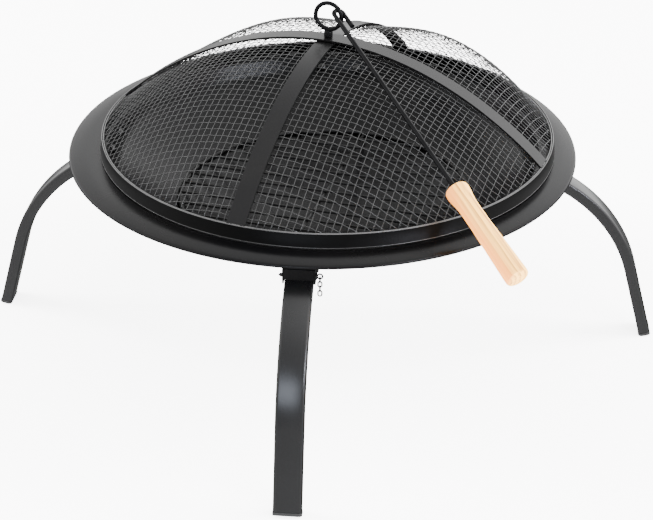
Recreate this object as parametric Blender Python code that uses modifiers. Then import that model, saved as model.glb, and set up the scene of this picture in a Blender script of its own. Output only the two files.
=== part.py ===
"""A folding fire bowl on four legs, with a grate, a mesh lid and a poker. Metres, +Z up.

The origin is on the floor under the bowl's centre. The front leg points along -Y.
"""
import math

import bmesh
import bpy
from mathutils import Matrix, Vector

# Bowl
RIM_RADIUS = 0.280
RIM_HEIGHT = 0.228
RIM_LIP = 0.0056
RIM_ROUND = 0.0028
FLANGE_CROWN = 0.0008
MOUTH_RADIUS = 0.2395
MOUTH_ROUND = 0.0030
SHOULDER_RADIUS = 0.230
SHOULDER_DROP = 0.024
BOWL_DEPTH = 0.1127
BOWL_WALL = 0.0014

# Leg: a flat-sided tube that leaves its bracket at a slope and bends down to the floor
LEG_WIDTH = 0.0287
LEG_THICKNESS = 0.0129
LEG_CORNER = 0.0030
LEG_WALL = 0.0015
LEG_PAST_PIVOT = 0.0060
LEG_UPPER_LENGTH = 0.0339
LEG_UPPER_SLOPE = math.radians(29.9)
LEG_SPLAY = math.radians(16.1)
LEG_BEND_RADIUS = 0.17185
PIVOT_OUT = 0.0117
PIVOT_DROP = 0.0249
CAP_LIP = 0.0035
CAP_RIM = 0.0004
CAP_PLUG = 0.012
SOLE_WIDTH = 0.0036

# Bracket and its fasteners
SHEET = 0.0018
CHEEK = 0.0015
CHEEK_BELOW_PIVOT = 0.0085
CHANNEL_PLAY = 0.00065
FRONT_REACH = 0.0206
FRONT_TOP_DROP = 0.0160
EAR_TOP_DROP = 0.0065
EAR_BOTTOM_DROP = 0.0225
EAR_WIDTH = 0.0125
BRACKET_DEPTH = 0.030
CHEEK_CORNER = 0.0025
TOP_SLANT = 0.014
BOLT_DROP = 0.0135
BOLT_SPREAD = 0.0215
BOLT_RADIUS = 0.0025
BOLT_HEAD_RADIUS = 0.0058
BOLT_HEAD_HEIGHT = 0.0032
BOLT_PAST_NUT = 0.0012
NUT_RADIUS = 0.0048
NUT_HEIGHT = 0.0038
PIVOT_RADIUS = 0.0025
PIVOT_HEAD_RADIUS = 0.0042
PIVOT_HEAD = 0.0014
LOCK_RADIUS = 0.0020
LOCK_TIP = 0.0036
LOCK_COLLAR_RADIUS = 0.0034
LOCK_COLLAR = 0.0012
LOCK_EYE_RADIUS = 0.0026
LOCK_EYE_WIRE = 0.0009
CHAIN_LINKS = 4
CHAIN_LINK_LENGTH = 0.0076
CHAIN_LINK_WIDTH = 0.0052
CHAIN_WIRE = 0.0007

# How far a cutter reaches past what it cuts
CUT_REACH = 0.040
HOLE_REACH = 0.015
END_REACH = 0.002

# Grate
GRATE_RADIUS = 0.165
GRATE_RING_WIRE = 0.0025
GRATE_WIRE = 0.0015
GRATE_PITCH = 0.0236
GRATE_WIRES = 13
GRATE_BAR = 0.00175
GRATE_TURN = math.radians(-12.0)
GRATE_SLIDE = (0.0033, 0.0014)

# Lid
LID_SHIFT = (0.0055, 0.0005)
LID_TURN = math.radians(-16.7)
HOOP_RADIUS = 0.2503
HOOP_TOP_RADIUS = 0.2486
HOOP_HEIGHT = 0.0152
HOOP_WALL = 0.0015
DOME_RISE = 0.1060
DOME_FULLNESS = 0.95
STRAP_WIDTH = 0.020
STRAP_THICKNESS = 0.0020
STRAP_TAB = 0.010
MESH_WIRE = 0.0016
MESH_PITCH = 0.0330
MESH_BULGE = 0.0055
MESH_BULGE_LEFT = 0.0092
MESH_BULGE_RIGHT = 0.0180
MESH_FREE = 0.012
EYE_RADIUS = 0.0147
EYE_WIRE = 0.0020
EYE_NECK_RADIUS = 0.00475
EYE_NECK_HEIGHT = 0.0075
EYE_SHANK_RADIUS = 0.0030
EYE_SHANK_PAST = 0.0015
CROWN_NUT_RADIUS = 0.0062
CROWN_NUT_HEIGHT = 0.0045

# Poker
ROD_RADIUS = 0.0025
ROD_SLOPE = math.radians(22.0)
ROD_AZIMUTH = math.radians(34.2)
HOOK_RISE = 0.0020
HOOK_PLAY = 0.0013
HOOK_END = 0.018
HANDLE_START = 0.2588
HANDLE_LENGTH = 0.1182
HANDLE_BORE_DEPTH = 0.032
ROD_END_PLAY = 0.002
HANDLE_COLLAR_RADIUS = 0.0123
HANDLE_WAIST_RADIUS = 0.0100
HANDLE_END_RADIUS = 0.0120

# Clearances
GAP = 0.0003
SEAT_GAP = 0.0005

# Facets
ROUND_STEPS = 64
BELLY_RINGS = 7
WIRE_SIDES = 8
HOLE_SIDES = 8
PIN_SIDES = 8
BEND_STEPS = 8
STRAP_POINTS = 15

LEGS = (("front", -90.0), ("right", 0.0), ("back", 90.0), ("left", 180.0))


def clear_scene():
    """Removes whatever the scene starts with."""
    for item in list(bpy.data.objects):
        bpy.data.objects.remove(item, do_unlink=True)


def material(name, color, roughness, metallic):
    """Makes a Principled material of one colour."""
    result = bpy.data.materials.new(name)
    result.use_nodes = True
    shader = result.node_tree.nodes["Principled BSDF"]
    shader.inputs["Base Color"].default_value = (*color, 1.0)
    shader.inputs["Roughness"].default_value = roughness
    shader.inputs["Metallic"].default_value = metallic
    return result


def evaluated_mesh(item):
    """Returns a new mesh of an object as its modifiers leave it, and removes the object."""
    item.hide_viewport = False
    bpy.context.scene.collection.objects.link(item)
    bpy.context.view_layer.update()
    graph = bpy.context.evaluated_depsgraph_get()
    result = bpy.data.meshes.new_from_object(item.evaluated_get(graph))
    bpy.data.objects.remove(item, do_unlink=True)
    return result


def tidy_mesh(mesh, weld=1e-6):
    """Welds doubled points and turns every face outwards."""
    bm = bmesh.new()
    bm.from_mesh(mesh)
    bmesh.ops.remove_doubles(bm, verts=bm.verts, dist=weld)
    bmesh.ops.recalc_face_normals(bm, faces=bm.faces)
    bm.to_mesh(mesh)
    bm.free()
    return mesh


def finished(bm, name):
    """Turns a bmesh into a mesh."""
    bmesh.ops.recalc_face_normals(bm, faces=bm.faces)
    mesh = bpy.data.meshes.new(name)
    bm.to_mesh(mesh)
    bm.free()
    return mesh


def turned(profile, name, steps=ROUND_STEPS, closed=True):
    """Turns a profile of (radius, height) points about Z with a Screw modifier."""
    mesh = bpy.data.meshes.new(name)
    bm = bmesh.new()
    verts = [bm.verts.new((radius, 0.0, height)) for radius, height in profile]
    for first, second in zip(verts[:-1], verts[1:]):
        bm.edges.new((first, second))
    if closed:
        bm.edges.new((verts[-1], verts[0]))
    bm.to_mesh(mesh)
    bm.free()
    item = bpy.data.objects.new(name, mesh)
    screw = item.modifiers.new("Screw", "SCREW")
    screw.axis = "Z"
    screw.steps = steps
    screw.render_steps = steps
    screw.use_merge_vertices = True
    screw.merge_threshold = 1e-5
    return tidy_mesh(evaluated_mesh(item))


def rod(radius, start, end, name, sides=WIRE_SIDES):
    """Makes a straight round bar between two points."""
    start = Vector(start)
    end = Vector(end)
    bm = bmesh.new()
    bmesh.ops.create_cone(bm, cap_ends=True, segments=sides, radius1=radius, radius2=radius,
                          depth=(end - start).length)
    turn = (end - start).to_track_quat("Z", "Y").to_matrix().to_4x4()
    bmesh.ops.transform(bm, verts=bm.verts, matrix=Matrix.Translation((start + end) / 2) @ turn)
    return finished(bm, name)


def block(low, high, name):
    """Makes a box between two corners."""
    bm = bmesh.new()
    bmesh.ops.create_cube(bm, size=1.0)
    low = Vector(low)
    high = Vector(high)
    for vert in bm.verts:
        vert.co = Vector([low[i] + (vert.co[i] + 0.5) * (high[i] - low[i]) for i in range(3)])
    return finished(bm, name)


def plate(outline, half_width, name):
    """Makes a slab from a flat outline of (x, z) points, from -half_width to half_width along Y."""
    curve = bpy.data.curves.new(name, "CURVE")
    curve.dimensions = "2D"
    curve.fill_mode = "BOTH"
    curve.extrude = half_width
    spline = curve.splines.new("POLY")
    spline.points.add(len(outline) - 1)
    for point, (x, z) in zip(spline.points, outline):
        point.co = (x, z, 0.0, 1.0)
    spline.use_cyclic_u = True
    mesh = evaluated_mesh(bpy.data.objects.new(name, curve))
    mesh.transform(Matrix.Rotation(math.pi / 2, 4, "X"))
    return tidy_mesh(mesh)


def wire(points, radius, name, resolution=2, cyclic=False):
    """Makes a round wire along points."""
    curve = bpy.data.curves.new(name, "CURVE")
    curve.dimensions = "3D"
    curve.bevel_depth = radius
    curve.bevel_resolution = resolution
    curve.use_fill_caps = True
    curve.twist_mode = "MINIMUM"
    spline = curve.splines.new("POLY")
    spline.points.add(len(points) - 1)
    for point, place in zip(spline.points, points):
        point.co = (*place, 1.0)
    spline.use_cyclic_u = cyclic
    return tidy_mesh(evaluated_mesh(bpy.data.objects.new(name, curve)))


def torus(major, minor, name, major_steps=32, minor_steps=WIRE_SIDES):
    """Makes a ring in the XY plane."""
    points = []
    for step in range(minor_steps):
        angle = 2.0 * math.pi * (step + 0.5) / minor_steps
        points.append((major + minor * math.cos(angle), minor * math.sin(angle)))
    return turned(points, name, major_steps)


def combined(mesh, tool, operation):
    """Unites, cuts or crosses a mesh with another by an exact Boolean."""
    base = bpy.data.objects.new("base", mesh)
    cutter = bpy.data.objects.new("cutter", tool)
    bpy.context.scene.collection.objects.link(cutter)
    cutter.hide_render = True
    cutter.display_type = "WIRE"
    modifier = base.modifiers.new("Boolean", "BOOLEAN")
    modifier.operation = operation
    modifier.object = cutter
    modifier.solver = "EXACT"
    result = evaluated_mesh(base)
    bpy.data.objects.remove(cutter, do_unlink=True)
    return tidy_mesh(result)


def union(mesh, *tools):
    for tool in tools:
        mesh = combined(mesh, tool, "UNION")
    return mesh


def cut(mesh, *tools):
    for tool in tools:
        mesh = combined(mesh, tool, "DIFFERENCE")
    return mesh


def merged(meshes, name):
    """Puts separate shapes that don't touch into one mesh."""
    bm = bmesh.new()
    for mesh in meshes:
        bm.from_mesh(mesh)
    return finished(bm, name)


def parallel(points, distance):
    """Shifts an open profile sideways, to the right of its direction for a positive distance."""
    result = []
    for i, (x, z) in enumerate(points):
        before = Vector(points[max(i - 1, 0)])
        after = Vector(points[min(i + 1, len(points) - 1)])
        here = Vector((x, z))
        first = (here - before).normalized() if i > 0 else (after - here).normalized()
        second = (after - here).normalized() if i < len(points) - 1 else first
        normal = Vector((first.y + second.y, -first.x - second.x)).normalized()
        stretch = normal.dot(Vector((first.y, -first.x)))
        result.append(tuple(here + normal * distance / stretch))
    return result


def height_at(points, radius):
    """Reads the height of a rising profile at a radius."""
    for (x0, z0), (x1, z1) in zip(points[:-1], points[1:]):
        if x0 <= radius <= x1 and x1 > x0:
            return z0 + (z1 - z0) * (radius - x0) / (x1 - x0)
    return points[-1][1]


# The bowl's inner surface, from the axis outwards
SHOULDER_Z = RIM_HEIGHT - SHOULDER_DROP
BOTTOM_Z = RIM_HEIGHT - BOWL_DEPTH
BELLY_RISE = SHOULDER_Z - BOTTOM_Z
BELLY_RADIUS = (SHOULDER_RADIUS ** 2 + BELLY_RISE ** 2) / (2.0 * BELLY_RISE)
BELLY_CENTRE = BOTTOM_Z + BELLY_RADIUS
WALL_LENGTH = math.hypot(MOUTH_RADIUS - SHOULDER_RADIUS, SHOULDER_DROP)
WALL_ALONG = ((MOUTH_RADIUS - SHOULDER_RADIUS) / WALL_LENGTH, SHOULDER_DROP / WALL_LENGTH)
WALL_OUT = (WALL_ALONG[1], -WALL_ALONG[0])


def belly_height(radius, extra=0.0):
    """Height of the belly's inner surface, or of a surface that lies extra outside it."""
    return BELLY_CENTRE - math.sqrt((BELLY_RADIUS + extra) ** 2 - radius ** 2)


def wall_radius(height):
    """Radius of the straight upper wall's inner side at a height."""
    return SHOULDER_RADIUS + (height - SHOULDER_Z) * WALL_ALONG[0] / WALL_ALONG[1]


def inner_profile():
    """Lists the bowl's inner and upper surface from its centre to its outer lip."""
    points = []
    reach = math.asin(SHOULDER_RADIUS / BELLY_RADIUS)
    for step in range(BELLY_RINGS):
        angle = reach * step / BELLY_RINGS
        points.append((BELLY_RADIUS * math.sin(angle), BELLY_CENTRE - BELLY_RADIUS * math.cos(angle)))
    points.append((SHOULDER_RADIUS, SHOULDER_Z))
    points.append((MOUTH_RADIUS - MOUTH_ROUND * WALL_ALONG[0], RIM_HEIGHT - MOUTH_ROUND * WALL_ALONG[1]))
    points.append((MOUTH_RADIUS + MOUTH_ROUND, RIM_HEIGHT - FLANGE_CROWN / 4.0))
    points.append(((MOUTH_RADIUS + RIM_RADIUS) / 2.0, RIM_HEIGHT))
    points.append((RIM_RADIUS - 0.7 * RIM_ROUND, RIM_HEIGHT - FLANGE_CROWN / 2.0))
    points.append((RIM_RADIUS, RIM_HEIGHT - RIM_ROUND))
    points.append((RIM_RADIUS, RIM_HEIGHT - RIM_LIP))
    return points


# The leg's side view, in the plane of its own fold
PIVOT_Z = RIM_HEIGHT - PIVOT_DROP
PIVOT_R = wall_radius(PIVOT_Z) + (BOWL_WALL + PIVOT_OUT) / WALL_OUT[0]
UPPER = Vector((math.cos(LEG_UPPER_SLOPE), -math.sin(LEG_UPPER_SLOPE)))
LOWER = Vector((math.sin(LEG_SPLAY), -math.cos(LEG_SPLAY)))
UPPER_OUT = Vector((math.sin(LEG_UPPER_SLOPE), math.cos(LEG_UPPER_SLOPE)))
LOWER_OUT = Vector((math.cos(LEG_SPLAY), math.sin(LEG_SPLAY)))
PIVOT = Vector((PIVOT_R, PIVOT_Z))
BEND_START = PIVOT + UPPER * LEG_UPPER_LENGTH
BEND_CENTRE = BEND_START - UPPER_OUT * LEG_BEND_RADIUS
BEND_END = BEND_CENTRE + LOWER_OUT * LEG_BEND_RADIUS
INNER_FOOT = BEND_END - LOWER_OUT * (LEG_THICKNESS / 2.0)
LOWER_LENGTH = INNER_FOOT.y / math.cos(LEG_SPLAY) + SOLE_WIDTH * math.sin(LEG_SPLAY)
LEG_END = BEND_END + LOWER * LOWER_LENGTH
TUBE_END = LEG_END - LOWER * CAP_LIP


def leg_path(top_extra, bottom_extra):
    """Lists the tube's centre line from its top end to its foot."""
    points = [PIVOT - UPPER * (LEG_PAST_PIVOT + top_extra)]
    first = math.pi / 2.0 - LEG_UPPER_SLOPE
    for step in range(BEND_STEPS + 1):
        angle = first + (LEG_SPLAY - first) * step / BEND_STEPS
        points.append(BEND_CENTRE + Vector((math.cos(angle), math.sin(angle))) * LEG_BEND_RADIUS)
    points.append(TUBE_END + LOWER * bottom_extra)
    return [(point.x, 0.0, point.y) for point in points]


def rounded_rectangle(half_width, half_height, corner, steps=2):
    """Lists the outline of a rectangle with round corners."""
    points = []
    for index, (sx, sy) in enumerate(((1, 1), (-1, 1), (-1, -1), (1, -1))):
        for step in range(steps + 1):
            angle = math.pi / 2.0 * (index + step / steps)
            points.append((sx * (half_width - corner) + corner * math.cos(angle),
                           sy * (half_height - corner) + corner * math.sin(angle)))
    return points


def flat_tube(path, half_width, half_height, corner, name):
    """Sweeps a round-cornered rectangle along a path in the XZ plane, with its width along Y."""
    section = bpy.data.curves.new("section", "CURVE")
    section.dimensions = "2D"
    spline = section.splines.new("POLY")
    outline = rounded_rectangle(half_width, half_height, corner)
    spline.points.add(len(outline) - 1)
    for point, (x, y) in zip(spline.points, outline):
        point.co = (x, y, 0.0, 1.0)
    spline.use_cyclic_u = True
    section_object = bpy.data.objects.new("section", section)
    bpy.context.scene.collection.objects.link(section_object)
    curve = bpy.data.curves.new(name, "CURVE")
    curve.dimensions = "3D"
    curve.twist_mode = "Z_UP"
    curve.bevel_mode = "OBJECT"
    curve.bevel_object = section_object
    curve.use_fill_caps = True
    spline = curve.splines.new("POLY")
    spline.points.add(len(path) - 1)
    for point, place in zip(spline.points, path):
        point.co = (*place, 1.0)
    mesh = evaluated_mesh(bpy.data.objects.new(name, curve))
    bpy.data.objects.remove(section_object, do_unlink=True)
    return tidy_mesh(mesh)


def leg_mesh():
    """Makes the bent tube, hollow from end to end, with its pivot hole."""
    outer = flat_tube(leg_path(0.0, 0.0), LEG_WIDTH / 2.0, LEG_THICKNESS / 2.0, LEG_CORNER, "leg")
    inner = flat_tube(leg_path(END_REACH, END_REACH), LEG_WIDTH / 2.0 - LEG_WALL,
                      LEG_THICKNESS / 2.0 - LEG_WALL, LEG_CORNER - LEG_WALL, "leg_hollow")
    hole = rod(PIVOT_RADIUS + GAP, (PIVOT_R, -CUT_REACH, PIVOT_Z), (PIVOT_R, CUT_REACH, PIVOT_Z),
               "leg_hole", HOLE_SIDES)
    return cut(outer, hole, inner)


def cap_mesh():
    """Makes the plastic cap: a lip under the tube's end and a plug inside it, cut flat on the floor."""
    def along(distance):
        place = LEG_END - LOWER * distance
        return (place.x, 0.0, place.y)

    lip = flat_tube([along(0.0), along(CAP_LIP - GAP)], LEG_WIDTH / 2.0 + CAP_RIM,
                    LEG_THICKNESS / 2.0 + CAP_RIM, LEG_CORNER, "cap_lip")
    plug = flat_tube([along(CAP_LIP / 2.0), along(CAP_LIP + CAP_PLUG)],
                     LEG_WIDTH / 2.0 - LEG_WALL - GAP, LEG_THICKNESS / 2.0 - LEG_WALL - GAP,
                     LEG_CORNER - LEG_WALL, "cap_plug")
    floor = block((LEG_END.x - CUT_REACH, -CUT_REACH, -CUT_REACH),
                  (LEG_END.x + CUT_REACH, CUT_REACH, 0.0), "floor")
    return cut(union(lip, plug), floor)


# The bracket's side view
FRONT_R = PIVOT_R + FRONT_REACH
FRONT_TOP = RIM_HEIGHT - FRONT_TOP_DROP
CHEEK_BOTTOM = PIVOT_Z - CHEEK_BELOW_PIVOT
CHANNEL_HALF = LEG_WIDTH / 2.0 + CHANNEL_PLAY
CHEEK_HALF = CHANNEL_HALF + CHEEK
EAR_TOP = RIM_HEIGHT - EAR_TOP_DROP
EAR_BOTTOM = RIM_HEIGHT - EAR_BOTTOM_DROP


def leg_top_at(radius):
    """Height of the open leg's upper face at a radius, where the tube is straight."""
    place = PIVOT + UPPER_OUT * (LEG_THICKNESS / 2.0)
    return place.y - (radius - place.x) * math.tan(LEG_UPPER_SLOPE)


FRONT_BOTTOM = leg_top_at(FRONT_R - SHEET) + GAP
LOCK_R = FRONT_R - SHEET - GAP - LOCK_RADIUS
LOCK_Z = leg_top_at(LOCK_R) + (LOCK_RADIUS + GAP) / math.cos(LEG_UPPER_SLOPE)


def bowl_space(extra, low, name):
    """Makes a turned block whose outer side lies a distance outside the bowl's inner surface."""
    top = RIM_HEIGHT
    profile = [(0.0, low), (0.0, top)]
    profile.append((wall_radius(top) + extra / WALL_OUT[0], top))
    start = Vector((SHOULDER_RADIUS, SHOULDER_Z)) + Vector(WALL_OUT) * extra
    profile.append((start.x, start.y))
    base_radius = BELLY_RADIUS + extra
    first = math.asin(SHOULDER_RADIUS / BELLY_RADIUS)
    last = math.acos(min(1.0, (BELLY_CENTRE - low) / base_radius))
    for step in range(1, 5):
        angle = first + (last - first) * step / 4.0
        profile.append((base_radius * math.sin(angle), BELLY_CENTRE - base_radius * math.cos(angle)))
    return turned(profile, name)


def bolt_place(side):
    """Returns the bolt hole's centre on the wall's inner side, and the outward axis, at the leg on +X."""
    height = RIM_HEIGHT - BOLT_DROP
    radius = wall_radius(height)
    azimuth = side * math.asin(BOLT_SPREAD / radius)
    out = Vector((WALL_OUT[0] * math.cos(azimuth), WALL_OUT[0] * math.sin(azimuth), WALL_OUT[1]))
    return Vector((radius * math.cos(azimuth), radius * math.sin(azimuth), height)), out


def bolt_hole(side):
    place, out = bolt_place(side)
    return rod(BOLT_RADIUS + GAP, place - out * HOLE_REACH, place + out * HOLE_REACH, "bolt_hole",
               HOLE_SIDES)


def bracket_mesh():
    """Makes a bracket: ears on the wall, two cheeks, and a front plate that stops the open leg."""
    outline = [(PIVOT_R - BRACKET_DEPTH, CHEEK_BOTTOM), (FRONT_R - CHEEK_CORNER, CHEEK_BOTTOM),
               (FRONT_R, CHEEK_BOTTOM + CHEEK_CORNER), (FRONT_R, FRONT_TOP),
               (FRONT_R - TOP_SLANT, EAR_TOP), (PIVOT_R - BRACKET_DEPTH, EAR_TOP)]
    body = plate(outline, CHEEK_HALF, "bracket")
    ears = bowl_space(BOWL_WALL + GAP + SHEET, EAR_BOTTOM, "ears")
    ear_half = CHEEK_HALF + EAR_WIDTH
    ear_box = block((PIVOT_R - CUT_REACH, -ear_half, EAR_BOTTOM + GAP),
                    (RIM_RADIUS, ear_half, EAR_TOP - GAP), "ear_box")
    ears = combined(ears, ear_box, "INTERSECT")
    channel = block((PIVOT_R - CUT_REACH, -CHANNEL_HALF, CHEEK_BOTTOM - CUT_REACH),
                    (FRONT_R - SHEET, CHANNEL_HALF, EAR_TOP + CUT_REACH), "channel")
    mouth = block((FRONT_R - 2.0 * SHEET, -CHANNEL_HALF, CHEEK_BOTTOM - CUT_REACH),
                  (FRONT_R + CUT_REACH, CHANNEL_HALF, FRONT_BOTTOM), "mouth")
    bowl = bowl_space(BOWL_WALL + GAP, CHEEK_BOTTOM - CUT_REACH, "bowl_cutter")
    pivot_hole = rod(PIVOT_RADIUS + GAP, (PIVOT_R, -CUT_REACH, PIVOT_Z), (PIVOT_R, CUT_REACH, PIVOT_Z),
                     "pivot_hole", HOLE_SIDES)
    lock_hole = rod(LOCK_RADIUS + GAP, (LOCK_R, -CUT_REACH, LOCK_Z), (LOCK_R, CUT_REACH, LOCK_Z),
                    "lock_hole", HOLE_SIDES)
    body = cut(union(body, ears), channel, mouth, bowl, pivot_hole, bolt_hole(-1), bolt_hole(1))
    return cut(body, lock_hole)


def bolt_mesh():
    """Makes a domed bolt along +Z, with the underside of its head at the origin."""
    length = SEAT_GAP + BOWL_WALL + GAP + SHEET + GAP + NUT_HEIGHT + BOLT_PAST_NUT
    points = [(0.0, length), (BOLT_RADIUS, length), (BOLT_RADIUS, 0.0), (BOLT_HEAD_RADIUS, 0.0),
              (BOLT_HEAD_RADIUS * 0.93, -BOLT_HEAD_HEIGHT * 0.45),
              (BOLT_HEAD_RADIUS * 0.62, -BOLT_HEAD_HEIGHT * 0.85), (0.0, -BOLT_HEAD_HEIGHT)]
    return turned(points, "bolt", PIN_SIDES, closed=False)


def nut_mesh(radius, height, bore, name):
    """Makes a six-sided nut along +Z from the origin."""
    bm = bmesh.new()
    bmesh.ops.create_cone(bm, cap_ends=True, segments=6, radius1=radius, radius2=radius, depth=height)
    bmesh.ops.translate(bm, verts=bm.verts, vec=(0.0, 0.0, height / 2.0))
    hole = rod(bore, (0.0, 0.0, -HOLE_REACH), (0.0, 0.0, height + HOLE_REACH), "nut_hole", HOLE_SIDES)
    return cut(finished(bm, name), hole)


def pivot_pin_mesh():
    """Makes the pivot pin along Y, with a head outside each cheek."""
    half = CHEEK_HALF + GAP
    points = [(0.0, half + PIVOT_HEAD), (PIVOT_HEAD_RADIUS * 0.7, half + PIVOT_HEAD),
              (PIVOT_HEAD_RADIUS, half + PIVOT_HEAD * 0.4), (PIVOT_HEAD_RADIUS, half),
              (PIVOT_RADIUS, half), (PIVOT_RADIUS, -half), (PIVOT_HEAD_RADIUS, -half),
              (PIVOT_HEAD_RADIUS, -half - PIVOT_HEAD * 0.4),
              (PIVOT_HEAD_RADIUS * 0.7, -half - PIVOT_HEAD), (0.0, -half - PIVOT_HEAD)]
    mesh = turned(points, "pivot_pin", PIN_SIDES, closed=False)
    mesh.transform(Matrix.Rotation(-math.pi / 2.0, 4, "X"))
    return mesh


LOCK_EYE_Y = CHEEK_HALF + GAP + LOCK_COLLAR + LOCK_EYE_RADIUS


def lock_pin_mesh():
    """Makes the lock pin along Y: a pointed tip on -Y, a collar and an eye on +Y."""
    half = CHEEK_HALF + GAP
    points = [(0.0, half + LOCK_COLLAR), (LOCK_COLLAR_RADIUS, half + LOCK_COLLAR),
              (LOCK_COLLAR_RADIUS, half), (LOCK_RADIUS, half), (LOCK_RADIUS, -half - LOCK_TIP * 0.4),
              (LOCK_RADIUS * 0.35, -half - LOCK_TIP), (0.0, -half - LOCK_TIP)]
    mesh = turned(points, "lock_pin", PIN_SIDES, closed=False)
    mesh.transform(Matrix.Rotation(-math.pi / 2.0, 4, "X"))
    eye = torus(LOCK_EYE_RADIUS, LOCK_EYE_WIRE, "eye", 10, 5)
    eye.transform(Matrix.Translation((0.0, LOCK_EYE_Y, 0.0)) @ Matrix.Rotation(math.pi / 2.0, 4, "Y"))
    return union(mesh, eye)


def link_mesh(turn, name):
    """Makes one chain link, long in Z."""
    straight = (CHAIN_LINK_LENGTH - CHAIN_LINK_WIDTH) / 2.0
    radius = CHAIN_LINK_WIDTH / 2.0 - CHAIN_WIRE
    points = []
    for step in range(PIN_SIDES):
        angle = 2.0 * math.pi * (step + 0.5) / PIN_SIDES
        lift = straight if math.sin(angle) > 0.0 else -straight
        points.append((radius * math.cos(angle), 0.0, radius * math.sin(angle) + lift))
    mesh = wire(points, CHAIN_WIRE, name, 0, True)
    mesh.transform(Matrix.Rotation(turn, 4, "Z"))
    return mesh


def chain_mesh():
    """Makes the chain that hangs from the lock pin's eye, each link through the next."""
    inside = CHAIN_LINK_LENGTH / 2.0 - 2.0 * CHAIN_WIRE
    step = 2.0 * (inside + CHAIN_WIRE) - CHAIN_WIRE * 1.5
    first = LOCK_EYE_WIRE + GAP - LOCK_EYE_RADIUS - inside
    result = None
    for index in range(CHAIN_LINKS):
        link = link_mesh(math.pi / 2.0 * (index % 2), "link")
        link.transform(Matrix.Translation((0.0, LOCK_EYE_Y, first - step * index)))
        result = link if result is None else union(result, link)
    return result


def grate_mesh():
    """Makes the welded grate: an outer ring, parallel wires on it and one bar under them."""
    lean = GRATE_RADIUS / BELLY_RADIUS
    rise = math.sqrt(1.0 - lean ** 2)
    stand_off = GRATE_RING_WIRE + SEAT_GAP
    ring_radius = GRATE_RADIUS - lean * stand_off
    ring_height = belly_height(GRATE_RADIUS) + rise * stand_off
    ring = torus(ring_radius, GRATE_RING_WIRE, "grate", ROUND_STEPS, 6)
    wires = []
    wire_height = GRATE_RING_WIRE - GRATE_WIRE / 3.0
    for index in range(GRATE_WIRES):
        offset = (index - (GRATE_WIRES - 1) / 2.0) * GRATE_PITCH
        half = math.sqrt(ring_radius ** 2 - offset ** 2)
        wires.append(rod(GRATE_WIRE, (-half, offset, wire_height), (half, offset, wire_height),
                         "grate_wire", 6))
    bar_height = wire_height - GRATE_WIRE - GRATE_BAR * 0.7
    bar = rod(GRATE_BAR, (0.0, -ring_radius, bar_height), (0.0, ring_radius, bar_height),
              "grate_bar", 6)
    mesh = union(ring, merged(wires, "grate_wires"), bar)
    slide_arm = BELLY_CENTRE - ring_height
    slid = Matrix.Rotation(math.asin(GRATE_SLIDE[1] / slide_arm), 4, "X")
    slid = slid @ Matrix.Rotation(-math.asin(GRATE_SLIDE[0] / slide_arm), 4, "Y")
    place = Matrix.Translation((0.0, 0.0, BELLY_CENTRE)) @ slid @ Matrix.Translation((0.0, 0.0, -slide_arm))
    mesh.transform(place @ Matrix.Rotation(GRATE_TURN, 4, "Z"))
    return mesh


# The lid's side view, in its own frame
HOOP_BOTTOM = RIM_HEIGHT + SEAT_GAP
HOOP_TOP = HOOP_BOTTOM + HOOP_HEIGHT
HOOP_INSIDE = (HOOP_TOP_RADIUS - HOOP_WALL) * math.cos(math.pi / ROUND_STEPS)
DOME_RADIUS = math.sqrt(HOOP_INSIDE ** 2 - (STRAP_WIDTH / 2.0) ** 2) - GAP
CROWN_TOP = HOOP_TOP + DOME_RISE


def dome_profile(rise, points=STRAP_POINTS):
    """Lists a strap's upper side from the hoop to the crown."""
    result = []
    for step in range(points):
        angle = math.pi / 2.0 * (step / (points - 1.0)) ** 1.15
        radius = DOME_RADIUS * math.cos(angle)
        height = HOOP_TOP + rise * max(0.0, math.sin(angle)) ** (2.0 * DOME_FULLNESS)
        result.append((max(radius, 0.0), height))
    return result


# The upper strap bends down a little across the lower one's width
CROSSING_SAG = CROWN_TOP - height_at(dome_profile(DOME_RISE)[::-1], STRAP_WIDTH / 2.0)
LOWER_DOME_RISE = DOME_RISE - STRAP_THICKNESS - GAP - CROSSING_SAG
NUT_SEAT = HOOP_TOP + LOWER_DOME_RISE - STRAP_THICKNESS - GAP


def hoop_mesh():
    wall_bottom = HOOP_RADIUS - HOOP_WALL
    wall_top = HOOP_TOP_RADIUS - HOOP_WALL
    return turned([(HOOP_RADIUS, HOOP_BOTTOM), (HOOP_TOP_RADIUS, HOOP_TOP), (wall_top, HOOP_TOP),
                   (wall_bottom, HOOP_BOTTOM)], "lid_hoop")


def strap_mesh(rise, name):
    """Makes one band over the lid, with a tab down the inside of the hoop at each end."""
    half = [(DOME_RADIUS, HOOP_TOP - STRAP_TAB)] + dome_profile(rise)
    outer = half + [(-x, z) for x, z in reversed(half[:-1])]
    inner = parallel(outer, STRAP_THICKNESS)
    if inner[len(inner) // 2][1] > outer[len(outer) // 2][1]:
        inner = parallel(outer, -STRAP_THICKNESS)
    mesh = plate(outer + inner[::-1], STRAP_WIDTH / 2.0, name)
    hole = rod(EYE_SHANK_RADIUS + GAP, (0.0, 0.0, HOOP_TOP), (0.0, 0.0, CROWN_TOP + CUT_REACH),
               "strap_hole", HOLE_SIDES)
    return cut(mesh, hole)


def mesh_surface():
    """Lists the height of the mesh's middle surface under a strap against the radius."""
    under = STRAP_THICKNESS + GAP + MESH_WIRE / 2.0
    profile = dome_profile(LOWER_DOME_RISE, 31)
    shifted = parallel(profile, under)
    if shifted[-1][1] > profile[-1][1]:
        shifted = parallel(profile, -under)
    shifted = sorted((max(x, 0.0), z) for x, z in shifted)
    return shifted


def smooth(value):
    value = min(1.0, max(0.0, value))
    return value * value * (3.0 - 2.0 * value)


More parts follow.
